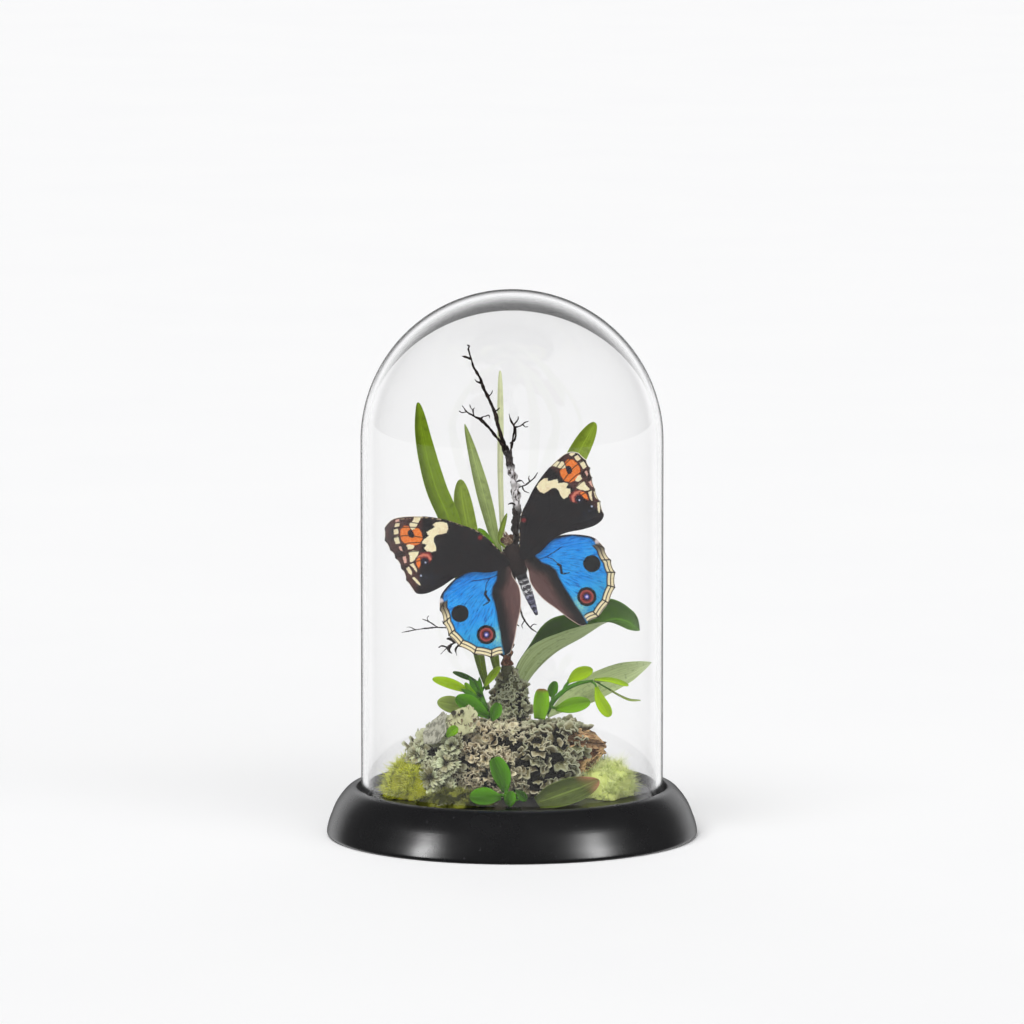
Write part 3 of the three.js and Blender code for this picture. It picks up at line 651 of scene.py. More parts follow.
HINDWING_TEETH = [
    (21.6, -3.4), (21.9, -6.6), (21.6, -9.8), (20.2, -13.2), (17.4, -16.3), (13.9, -18.6),
    (10.9, -19.2)]
# Forewing markings, in the same axes, drawn as outlines.
CREAM_MARKS = {
    "median_band": [
        (11.7, 16), (12.7, 16.7), (14.1, 17.2), (15, 17), (14.8, 16.2), (15.8, 16.1), (17.1, 15.9),
        (16.9, 14.9), (18.4, 14.5), (19.2, 13.9), (18.1, 13.1), (19.1, 12.7), (18.8, 11.7),
        (17.8, 11), (16.7, 10.8), (16.3, 11.8), (16.3, 13.2), (15.9, 14), (15, 14.3),
        (13.9, 14), (12.8, 13.8), (11.9, 14.6)],
    "subapical_band": [
        (16.7, 19.8), (17.9, 20.7), (18.4, 20.4), (18.9, 19.8), (20, 19.4), (20.2, 18.4),
        (20, 17.8), (19.3, 17.8), (18.4, 18.4), (17.6, 19.1)],
    "lower_patch": [
        (20.4, 12.4), (21.7, 13.1), (22.9, 13.1), (23, 12), (23.5, 10.8), (22.7, 10.7), (21.2, 11.5)],
    "under_ring": [(20.9, 14.1), (22, 14.9), (22.7, 14.9), (22.7, 13.8), (21.5, 13.5)],
    "outer_streak": [(22.8, 10.4), (23.8, 10.4), (23.3, 9.3), (23, 7.9), (22.6, 8.5)],
    "edge_streak": [(24.1, 10), (24.9, 9.8), (24.8, 8.6), (24.3, 7.7), (23.9, 8.5)],
    "corner_streak": [(23.9, 7.2), (24.5, 7.3), (23.9, 5.4), (23.2, 4.4), (23.3, 5.6)],
    "apex_first": [(22, 20.6), (22.9, 20.8), (23.6, 20.1), (22.5, 19.8)],
    "apex_second": [(22.9, 19.4), (23.9, 19.6), (24.4, 18.5), (23.3, 18.2)],
    "apex_third": [(23.6, 17.8), (24.7, 17.8), (24.8, 16.2), (23.9, 15.9)],
}
PINK_MARKS = {
    "fourth_spot": [(23.9, 15.3), (24.5, 15.5), (24.5, 14.4), (24, 13.9)],
    "fifth_spot": [(23.8, 12.6), (24.6, 12.7), (24.8, 11.1), (24.2, 11)],
    "apex_dash": [(21.8, 21.5), (22.8, 21.6), (22.8, 21.1), (21.9, 20.9)],
}
ORANGE_MARKS = {
    "upper_ring": [
        (19.2, 17.7), (18.5, 17.9), (18.2, 16.6), (18.5, 15), (19.6, 14), (21.1, 14.1),
        (22.4, 14.8), (23.2, 16.2), (23.1, 17.7), (22.5, 18.9), (21.4, 19.5), (20.4, 19),
        (20.3, 18.2), (20.1, 17.6)],
    "lower_streak": [(21.8, 10.8), (20.8, 10.9), (21.3, 9.4), (22.1, 8.5), (22.3, 9.8)],
}
PUPIL = [(20.2, 18.1), (20.9, 18), (21.4, 17.3), (21.2, 16.4), (20.6, 15.9), (20, 16.2), (19.9, 17.2)]
LOWER_ARC = [(18.7, 9.6), (18.9, 10.6), (19.9, 11.2), (21, 11.1), (21.9, 10.4), (22.1, 9.1)]
LOWER_PUPIL = (20.2, 9.5)
RED_CLOUD = [(18.2, 11.2), (20.2, 11.9), (21.2, 10.8), (20.6, 9.4), (19.2, 8.9), (18.1, 9.8)]
TIP_LINE = [(16.2, 20.2), (17.4, 17.6), (18.7, 14.6), (20.3, 11.2), (22.4, 7.2), (24.4, 3.4)]
FOREWING_VEINS = [
    [(3, 3), (6, 8.4), (10.6, 12.8), (16, 17.2), (21.6, 21)],
    [(10.6, 12.8), (14.4, 14.4), (19, 18), (24.6, 20.4)],
    [(14.4, 14.4), (17.4, 14.6), (22, 17.2), (26.1, 18)],
    [(12.8, 9.8), (17.6, 13.2), (22, 15.2), (25.8, 15.5)],
    [(12.8, 9.8), (18, 11.4), (22.4, 13.1), (25.6, 13.2)],
    [(11, 8.2), (17, 9.4), (22, 10.4), (25.4, 10.3)],
    [(9, 6.6), (16, 7), (22, 7.4), (25.2, 7.2)],
    [(3, 2), (6.4, 5), (11, 8.2), (12.8, 9.8), (14.4, 14.4)],
    [(3, 1.6), (9, 3.6), (17, 4.2), (24.4, 3.9)],
]
SHOULDER_LINE = [(8, 3.2), (11, 3.5), (15.4, 2.8), (19.6, 0.6), (21.4, -2.6), (21.9, -4)]
HINDWING_EDGE_OF_BLUE = [
    (5.7, 2.3), (5, 0.5), (5.9, -1.5), (7.5, -2.8), (8.5, -4.6), (8.5, -6.6), (8.9, -9),
    (9.5, -12), (9.8, -14), (10.4, -16.2)]
HINDWING_SPOT, HINDWING_EYE = (17.1, -5.95), (13.05, -13.1)
HINDWING_MARKS = [
    [(9.4, -3.3), (9.8, -3.9), (9.6, -4.8), (9.4, -5.6)],
    [(9.2, -5.7), (9.8, -6), (11.1, -6.2)],
]
HINDWING_VEINS = [
    [(4.8, -0.6), (7.3, -0.6), (9.6, -0.2), (11.6, 0.3)],
    [(7.3, -0.6), (8.6, -1.6), (9.3, -2.9)],
    [(11.6, 0.3), (18, -0.8), (21.6, -3.4)],
    [(9.3, -2.9), (15, -4.4), (21.9, -6.6)],
    [(9.6, -4.6), (15.4, -7.6), (21.6, -9.8)],
    [(9.5, -5.2), (14.6, -9.4), (20.2, -13.2)],
    [(8.4, -5.6), (12.6, -10.6), (17.4, -16.3)],
    [(7.2, -5), (10.4, -11.6), (13.9, -18.6)],
    [(5.4, -3.6), (8.2, -11.4), (10.9, -19.2)],
]
# The depth of the scallops between the teeth, and how far the wing stands off the body.
FORE = dict(outline=FOREWING, teeth=FOREWING_TEETH, veins=FOREWING_VEINS, scallop=0.28, lift=1.3)
HIND = dict(outline=HINDWING, teeth=HINDWING_TEETH, veins=HINDWING_VEINS, scallop=0.45, lift=0.45)


def on_butterfly(lateral, forward, front):
    """Places from the butterfly's own axes; front is out of its back, towards the viewer."""
    lateral, forward, front = np.broadcast_arrays(lateral, forward, front)
    return (THORAX + lateral[..., None] * ACROSS + forward[..., None] * AHEAD
            + front[..., None] * np.array([0, -1, 0]))


def apart(points, middle, scale=1.0):
    """The distance of flat points from a place, where scale stretches the two axes."""
    return np.linalg.norm((points - middle) * scale, axis=1)


def from_line(points, line):
    """The distance of flat points from a line of straight stretches."""
    line = np.asarray(line, float)
    best = np.full(len(points), 1e9)
    for a, b in zip(line[:-1], line[1:]):
        reach = np.clip(((points - a) @ (b - a)) / ((b - a) @ (b - a)), 0, 1)
        best = np.minimum(best, np.linalg.norm(points - a - reach[:, None] * (b - a), axis=1))
    return best


def inside(points, outline):
    """Which flat points lie inside an outline."""
    outline = np.asarray(outline, float)
    within = np.zeros(len(points), bool)
    for a, b in zip(outline, np.roll(outline, -1, axis=0)):
        crosses = (a[1] > points[:, 1]) != (b[1] > points[:, 1])
        rise = (b[1] - a[1]) or 1e-12
        within ^= crosses & (points[:, 0] < (b[0] - a[0]) * (points[:, 1] - a[1]) / rise + a[0])
    return within


def depth_in(points, outline):
    """How deep flat points lie in an outline: above 0 inside it, below 0 outside."""
    distance = from_line(points, np.vstack([outline, outline[:1]]))
    return np.where(inside(points, outline), distance, -distance)


def depth_in_marks(points, marks):
    return np.max([depth_in(points, outline) for outline in marks.values()], axis=0)


def scalloped(outline, teeth, step, depth):
    """The wing's edge as a fine closed line, drawn in between the teeth."""
    dense, _ = smooth_line(outline, np.linspace(0, 1, 1200)[:-1], closed=True)
    gaps = np.linalg.norm(np.roll(dense, -1, axis=0) - dense, axis=1)
    reach = np.concatenate([[0], np.cumsum(gaps)])
    stations = np.linspace(0, reach[-1], int(reach[-1] / step) + 1)[:-1]
    loop = np.vstack([dense, dense[:1]])
    edge = np.stack([np.interp(stations, reach, loop[:, k]) for k in range(2)], axis=1)
    marks = sorted(apart(edge, tooth).argmin() for tooth in teeth)
    inward = np.roll(edge, -1, axis=0) - np.roll(edge, 1, axis=0)
    inward = unit(np.stack([inward[:, 1], -inward[:, 0]], axis=1))
    inward *= np.sign(((edge.mean(0) - edge) * inward).sum(1, keepdims=True))
    dip = np.zeros(len(edge))
    for low, high in zip(marks[:-1], marks[1:]):
        share = np.linspace(0, 1, high - low + 1)
        dip[low:high + 1] = depth * np.sin(share * math.pi) ** 0.6
    return edge + inward * dip[:, None]


def wing_sheet(edge, spacing):
    """Flat points and triangles that fill an outline evenly."""
    low, high = edge.min(0), edge.max(0)
    rows = np.arange(low[1], high[1], spacing * 0.866)
    columns = np.arange(low[0], high[0], spacing)
    x, y = np.meshgrid(columns, rows)
    x[1::2] += spacing / 2
    inner = np.stack([x.ravel(), y.ravel()], axis=1)
    inner = inner[depth_in(inner, edge) > spacing * 0.55]
    flat = np.vstack([edge, inner])
    loop = list(range(len(edge)))
    points, _, faces, _, _, _ = delaunay_2d_cdt(flat.tolist(), [], [loop], 1, 1e-6)
    return np.array([tuple(p) for p in points]), np.array(faces)


EDGE_STEP, SHEET_STEP = 0.17, 0.2  # spacing of a wing's points along its edge and inside it
VEIN_HEIGHT, VEIN_GIRTH = 0.035, 0.16


class DOME_OT_wings(bpy.types.Operator):
    """Spreads the four patterned wings"""
    bl_idname = "dome.wings"
    bl_label = "Wings"

    def execute(self, context):
        settings = context.scene.dome.butterfly
        fore, hind = self.forewing_finish(settings), self.hindwing_finish(settings)
        for side, (sign, turn, stretch) in SIDES.items():
            self.wing("forewing_" + side, settings, FORE, sign, turn, stretch, self.forewing_marks, fore)
            self.wing("hindwing_" + side, settings, HIND, sign, 0, 1, self.hindwing_marks, hind)
        return {"FINISHED"}

    def wing(self, name, settings, wing, sign, turn, stretch, marks, finish):
        spread = (np.array(wing["outline"]) - HINGE) * stretch + HINGE
        edge = scalloped(spread, wing["teeth"], EDGE_STEP, wing["scallop"])
        flat, faces = wing_sheet(edge, SHEET_STEP)
        vein = np.min([from_line(flat, smooth_line(line, np.linspace(0, 1, 24))[0])
                       for line in wing["veins"]], axis=0)
        rim = depth_in(flat, edge)
        turning = np.array([[math.cos(turn), math.sin(turn)], [-math.sin(turn), math.cos(turn)]])
        lateral, forward = ((flat - HINGE) @ turning + HINGE).T
        droop = 0.22 * np.sin(lateral * 0.33) + 0.16 * np.sin(forward * 0.5 + lateral * 0.2)
        front = wing["lift"] + 0.25 + lateral * math.sin(settings.dihedral) + droop
        ridge = VEIN_HEIGHT * np.exp(-(vein / VEIN_GIRTH) ** 2)
        thick = settings.wing_thickness / MM / 2 * (0.35 + 0.65 * np.clip(rim / 0.4, 0, 1))
        reach = sign * lateral * math.cos(settings.dihedral)
        top = on_butterfly(reach, forward, front + thick + ridge)
        bottom = on_butterfly(reach, forward, front - thick)
        count = len(flat)
        back = faces + count
        first, second = self.border(faces).T
        walls = np.stack([second, first, first + count, second + count], axis=1)
        if sign < 0:
            faces, back, walls = faces[:, ::-1], back[:, ::-1], walls[:, ::-1]
        shares = dict(marks(flat), vein=vein, rim=rim, lateral=flat[:, 0], forward=flat[:, 1])
        surface = Surface().add(
            np.vstack([top, bottom]), [faces, back[:, ::-1], walls], under=np.repeat([0, 1], count),
            **{key: np.tile(value, 2) for key, value in shares.items()})
        surface.piece(name + "_scaled", finish, "wing", (name,))

    @staticmethod
    def border(faces):
        """The directed outer edges of a sheet of triangles."""
        sides = np.vstack([faces[:, [0, 1]], faces[:, [1, 2]], faces[:, [2, 0]]])
        known = {tuple(side) for side in sides.tolist()}
        return np.array([side for side in sides.tolist() if (side[1], side[0]) not in known])

    @staticmethod
    def forewing_marks(flat):
        """How deep points of the flat forewing lie in each mark."""
        tip = np.vstack([TIP_LINE, [(30, 3), (30, 26), (14, 26)]])
        return {
            "cream": depth_in_marks(flat, CREAM_MARKS),
            "pink": depth_in_marks(flat, PINK_MARKS),
            "orange": depth_in_marks(flat, ORANGE_MARKS),
            "pupil": np.maximum(depth_in(flat, PUPIL), 1.0 - apart(flat, LOWER_PUPIL)),
            "arc": 0.3 - from_line(flat, LOWER_ARC),
            "glint": np.maximum(0.2 - apart(flat, (20.1, 9.3)), 0.22 - apart(flat, (22.3, 6.8))),
            "red": np.maximum(depth_in(flat, RED_CLOUD), 0.5 - apart(flat, (5.7, 9.6))),
            "tip": depth_in(flat, tip),
            "sheen": 2.6 - apart(flat, (20.8, 5), (0.8, 1.3)),
            "tooth": np.min([apart(flat, tooth) for tooth in FOREWING_TEETH], axis=0),
            "costa": from_line(flat, smooth_line(FOREWING[1:7], np.linspace(0, 1, 40))[0]),
        }

    @staticmethod
    def hindwing_marks(flat):
        """How deep points of the flat hindwing lie in each mark, or how far they are from it."""
        fold = np.vstack([[(5.4, 6)], HINDWING_EDGE_OF_BLUE, [(11.2, -22), (-6, -22), (-6, 6)]])
        return {
            "fold": depth_in(flat, fold),
            "spot": apart(flat, HINDWING_SPOT),
            "eye": apart(flat, HINDWING_EYE),
            "mark": np.max([
                girth - from_line(flat, line) for line, girth in zip(HINDWING_MARKS, (0.32, 0.14))], axis=0),
            "branch": np.min([from_line(flat, line) for line in HINDWING_VEINS[:2]], axis=0),
            "tick": np.min([from_line(flat, line[-2:]) for line in HINDWING_VEINS[2:]], axis=0),
            "shoulder": from_line(flat, SHOULDER_LINE),
            "white": 0.7 - apart(flat, (20.3, -1.6), (1.2, 0.7)),
            "mint": 1.9 - apart(flat, (10.6, -14.6), (1, 0.8)),
            "border": np.minimum(-1.6 - flat[:, 1], flat[:, 0] - 9.0),
            "tooth": np.min([apart(flat, tooth) for tooth in HINDWING_TEETH], axis=0),
        }

    @staticmethod
    def edges(finish, flat, ragged):
        """A soft step of a carried number over a ragged line."""
        wander = finish.times(finish.maths("SUBTRACT", finish.noise(0.5, 2, place=flat), 0.5), ragged)
        return lambda name, low, high: finish.step(finish.plus(name, wander), low, high)

    def forewing_finish(self, settings):
        finish = Finish("forewing_scales", Roughness=0.62, Specular_IOR_Level=0.25)
        step, times = finish.step, finish.times
        flat = finish.flat("lateral", "forward")
        edge = self.edges(finish, flat, 0.4)
        grain, cloud = finish.noise(0.45, 2, place=flat), finish.noise(2.6, 4, place=flat)
        tip = finish.layers(
            settings.tip_brown,
            ((92, 54, 46), step(grain, 0.4, 0.8)),
            ((34, 23, 25), step(cloud, 0.42, 0.7)))
        orange = finish.blend(settings.orange, (250, 152, 74), step(grain, 0.4, 0.8))
        cream = finish.layers(
            settings.cream,
            ((228, 206, 164), step(cloud, 0.45, 0.75)),
            ((255, 251, 226), step(grain, 0.5, 0.8)))
        sheen = times(edge("sheen", -0.6, 2.6), step(finish.noise(0.7, 3, place=flat), 0.5, 0.75))
        fringe = times(step("rim", 0.2, 0.08), step("tooth", 0.5, 0.9))
        front_edge = times(step("costa", 0.26, 0.1), step(finish.noise(0.9, 3, place=flat), 0.5, 0.62, 0.75))
        paint = finish.layers(
            settings.ground,
            ((26, 21, 25), step(grain, 0.35, 0.75)),
            ((46, 27, 28), step(cloud, 0.5, 0.8, 0.6)),
            (tip, edge("tip", -0.4, 0.6)),
            ((72, 84, 110), sheen),
            ((142, 44, 48), times(edge("red", -0.3, 0.3), 0.75)),
            ((206, 118, 96), edge("arc", -0.12, 0.12)),
            ((92, 34, 28), step("orange", -0.32, -0.05)),
            (orange, edge("orange", -0.1, 0.1)),
            ((226, 176, 158), edge("pink", -0.1, 0.1)),
            (cream, edge("cream", -0.09, 0.09)),
            ((24, 18, 34), edge("pupil", -0.1, 0.1)),
            ((186, 196, 222), edge("glint", -0.12, 0.12)),
            ((40, 26, 24), times(step("vein", 0.2, 0.07, 0.85), edge("tip", -0.4, 0.4))),
            ((38, 30, 30), times(step("rim", 0.36, 0.18), edge("tip", -0.3, 0.3))),
            ((238, 230, 216), times(fringe, edge("tip", -0.3, 0.3))),
            ((190, 168, 136), front_edge))
        return self.finished(finish, settings, paint, grain, flat)

    def hindwing_finish(self, settings):
        finish = Finish("hindwing_scales", Roughness=0.5, Specular_IOR_Level=0.3)
        step, times = finish.step, finish.times
        flat = finish.flat("lateral", "forward")
        edge = self.edges(finish, flat, 0.35)
        grain, broad = finish.noise(0.45, 2, place=flat), finish.noise(3.2, 3, place=flat)
        angle = finish.maths("ARCTAN2", finish.maths("SUBTRACT", "forward", 3.0), finish.plus("lateral", 1.0))
        streaks = finish.noise(0.36, 4, place=finish.flat(times(angle, 15.0), times("lateral", 0.2)))
        blue = finish.layers(
            settings.blue,
            ((34, 160, 240), step(broad, 0.35, 0.7)),
            ((14, 112, 218), step("forward", -4.0, 3.0, 0.65)),
            ((46, 166, 206), step("forward", -8.0, -14.0, 0.7)),
            ((62, 176, 242), step(streaks, 0.5, 0.3, 0.55)),
            (settings.deep_blue, step(streaks, 0.52, 0.66, 0.85)),
            ((150, 214, 196), times(edge("mint", -0.8, 1.6), step(grain, 0.35, 0.6))),
            ((16, 30, 84), edge("branch", 0.2, 0.04)),
            ((14, 14, 26), edge("mark", -0.08, 0.08)),
            ((14, 60, 130), step("vein", 0.14, 0.05, 0.3)))
        brown = finish.layers(
            (14, 11, 13),
            ((92, 66, 64), step("fold", 1.2, 4.4)),
            ((132, 98, 92), times(step(streaks, 0.5, 0.75), step("fold", 1.6, 4.0))))
        border = times(step("border", -0.2, 0.5), step("fold", 0.1, -0.5))
        outer = times(step("rim", 0.2, 0.32), step("rim", 0.9, 0.76))
        inner = times(step("rim", 1.0, 1.14), step("rim", 1.72, 1.52))
        stripes = times(finish.plus(outer, inner), border, step("tick", 0.1, 0.22),
                        step("forward", -2.6, -6.4, 1.0, 0.12))
        cream = finish.blend(settings.cream, (226, 204, 160), step(grain, 0.45, 0.75))
        fringe = times(step("rim", 0.15, 0.05), step("tooth", 0.5, 0.9), step("forward", -1.0, -2.0))
        inner_hair = times(
            step("rim", 0.3, 0.1), step("fold", 1.5, 2.5), step("forward", -3.0, -6.0), 0.8)
        ring = finish.blend(settings.eyespot_red, (160, 74, 68), step("eye", 1.2, 1.4))
        paint = finish.layers(
            blue,
            (brown, edge("fold", -0.32, 0.32)),
            ((24, 22, 34), edge("shoulder", 1.25, 0.55)),
            ((212, 200, 200), edge("white", -0.25, 0.25)),
            ((42, 28, 26), times(step("rim", 2.15, 1.75), border)),
            (cream, stripes),
            ((240, 222, 206), fringe),
            ((214, 188, 176), inner_hair),
            ((8, 8, 10), edge("spot", 2.2, 2.0)),
            ((10, 9, 12), edge("eye", 2.42, 2.25)),
            (ring, edge("eye", 1.72, 1.58)),
            ((84, 24, 32), edge("eye", 1.16, 1.02)),
            ((34, 14, 40), edge("eye", 0.92, 0.8)),
            ((86, 80, 170), edge("eye", 0.66, 0.5)),
            ((214, 204, 232), edge("eye", 0.36, 0.2)))
        return self.finished(finish, settings, paint, grain, flat)

    @staticmethod
    def finished(finish, settings, paint, grain, flat):
        """Adds the plain underside and the rows of scales to the upper side's colours."""
        step = finish.step
        below = finish.layers(
            settings.underside,
            ((196, 178, 150), step(grain, 0.4, 0.8)),
            ((108, 88, 74), step(finish.noise(2.4, 3, place=flat), 0.5, 0.75)),
            ((92, 74, 62), step("vein", 0.22, 0.08, 0.8)),
            ((120, 96, 80), step("rim", 1.3, 1.0, 0.5)))
        rows = finish.noise(0.5, 1, stretch=(2.6, 0.8, 1), place=flat)
        return finish.join(
            Base_Color=finish.blend(paint, below, "under"), Normal=finish.bump(rows, 0.01))


# The number that tells the body's parts apart in its mesh.
FUR, LEG, HEAD, PALP, ABDOMEN, EYE = 0.0, 0.2, 0.35, 0.4, 0.7, 1.0
SEGMENTS = 8  # rings of the abdomen
FUR_GIRTH, FUR_DEPTH = 0.06, 0.1  # a hair's radius, and how deep it is rooted


class DOME_OT_body(bpy.types.Operator):
    """Makes the butterfly's furry body, eyes, ringed abdomen and legs"""
    bl_idname = "dome.body"
    bl_label = "Body"

    def execute(self, context):
        rng = np.random.default_rng(11)
        thorax, head = self.egg((0, 0.9, 0), (2.5, 2.0, 4.3)), self.egg((0, 6.2, 0), (1.25, 1.15, 1.25))
        shoulders = [self.egg((sign * 2.6, 1.6, 0.5), (1.5, 1.0, 2.6)) for sign in (-1, 1)]
        surface = Surface().add(*thorax, part=FUR).add(*head, part=HEAD)
        for sign in (-1, 1):
            surface.add(*self.egg((sign * 1.05, 6.6, 0.1), (0.7, 0.75, 0.75), fine=18), part=EYE)
            palp = [on_butterfly(sign * 0.3, 7.0 + 0.7 * t, 0.3 + 0.2 * t) for t in (0, 1, 2)]
            surface.add(*stem(palp, (0.3, 0.28, 0.12), sides=8, fineness=4)[:2], part=PALP)
            for forward in (3, 0.8, -1.4):
                leg = [on_butterfly(sign * a, forward + b, c) for a, b, c in (
                    (0.8, 0, -0.6), (2.0, 0.9, -3.2), (1.1, 0.1, -5.2), (1.5, -1.2, -6.6))]
                surface.add(*stem(leg, (0.27, 0.22, 0.16, 0.12), sides=8, fineness=3)[:2], part=LEG)
        self.abdomen(surface)
        for shoulder in shoulders:
            surface.add(*shoulder, part=FUR)
        # Each coat's form, number of hairs, their length, their lean to the head, and its part.
        coats = [(thorax, 1500, 1.1, -0.55, FUR), (head, 600, 0.8, 0.2, HEAD)]
        coats += [(shoulder, 650, 1.3, -0.8, FUR) for shoulder in shoulders]
        for form, count, long, lean, part in coats:
            roots, normals = scatter(*form, count, rng)
            headings = normals + lean * AHEAD + rng.normal(scale=0.25, size=(count, 3))
            lengths = rng.uniform(0.5, 1.0, count) * long
            bend = rng.normal(scale=0.12, size=(count, 3)) + lean * 0.3 * AHEAD
            fur = hairs(roots - normals * FUR_DEPTH, headings, lengths, FUR_GIRTH, bend, stations=3)
            surface.add(*fur[:2], part=part)
        finish = self.finish(context.scene.dome.butterfly)
        surface.piece("furry_body", finish, "butterfly_body", ("butterfly_body",))
        return {"FINISHED"}

    @staticmethod
    def egg(middle, radii, fine=28):
        """A rounded form of the body; radii are lateral, front to back, and ahead."""
        across = np.arange(fine) / fine * TAU
        down = np.linspace(0.06, math.pi - 0.06, fine // 2 + 2)[:, None]
        lateral = middle[0] + radii[0] * np.sin(down) * np.cos(across)
        front = middle[2] + radii[1] * np.sin(down) * np.sin(across)
        forward = middle[1] + radii[2] * np.cos(down) + 0 * across
        return capped_tube(on_butterfly(lateral, forward, front)[::-1])

    @staticmethod
    def abdomen(surface):
        stations, sides = 90, 24
        t = np.linspace(0, 1, stations)
        waist = 0.9 + 0.1 * np.abs(np.sin(t * SEGMENTS * math.pi)) ** 0.6
        radius = (1.32 * (1 - 0.72 * t ** 2.4) * waist)[:, None]
        angle = np.arange(sides) / sides * TAU
        front = radius * np.sin(angle) + 0.3 * np.sin(t * math.pi)[:, None] - 0.1
        forward = (-2.4 - 10.9 * t)[:, None] + 0 * angle
        surface.add(*capped_tube(on_butterfly(radius * np.cos(angle), forward, front)), part=ABDOMEN,
                    along=np.append(np.repeat(t, sides), [0, 1]))

    @staticmethod
    def finish(settings):
        finish = Finish("body_fur_and_scales", Specular_IOR_Level=0.3)
        step, times = finish.step, finish.times
        grain, speckle = finish.noise(0.25, 3), finish.noise(0.45, 3)
        fur = finish.layers(
            settings.fur,
            ((92, 76, 70), step(grain, 0.5, 0.8)),
            ((18, 14, 15), step(finish.noise(1.6, 2), 0.5, 0.7, 0.7)))
        head = finish.layers(
            (122, 96, 76),
            ((226, 206, 172), step(grain, 0.5, 0.72)),
            ((70, 52, 50), step(finish.noise(0.8, 2), 0.52, 0.66)))
        wander = times(finish.maths("SUBTRACT", speckle, 0.5), 0.22)
        rings = finish.maths("SINE", times(finish.plus("along", wander), SEGMENTS * TAU))
        late = finish.blend((62, 58, 78), (136, 134, 160), step(rings, -0.4, 0.9))
        ringed = finish.layers(
            (40, 36, 44),
            ((224, 224, 226), step(rings, 0.0, 0.8, 1.0, 0.05)),
            (late, step("along", 0.42, 0.6)),
            ((14, 13, 17), step("along", 0.24, 0.1, 0.95)),
            ((28, 26, 34), step(speckle, 0.52, 0.62, 0.8)))
        eye = finish.blend((44, 28, 22), (92, 62, 44), finish.noise(0.2, 1))
        paint = finish.layers(
            fur, (head, step("part", 0.3, 0.34)), (ringed, step("part", 0.6, 0.65)),
            (eye, step("part", 0.85, 0.95)))
        return finish.join(
            Base_Color=paint, Roughness=step("part", 0.85, 0.95, 0.18, 0.75), Normal=finish.bump(grain, 0.05))


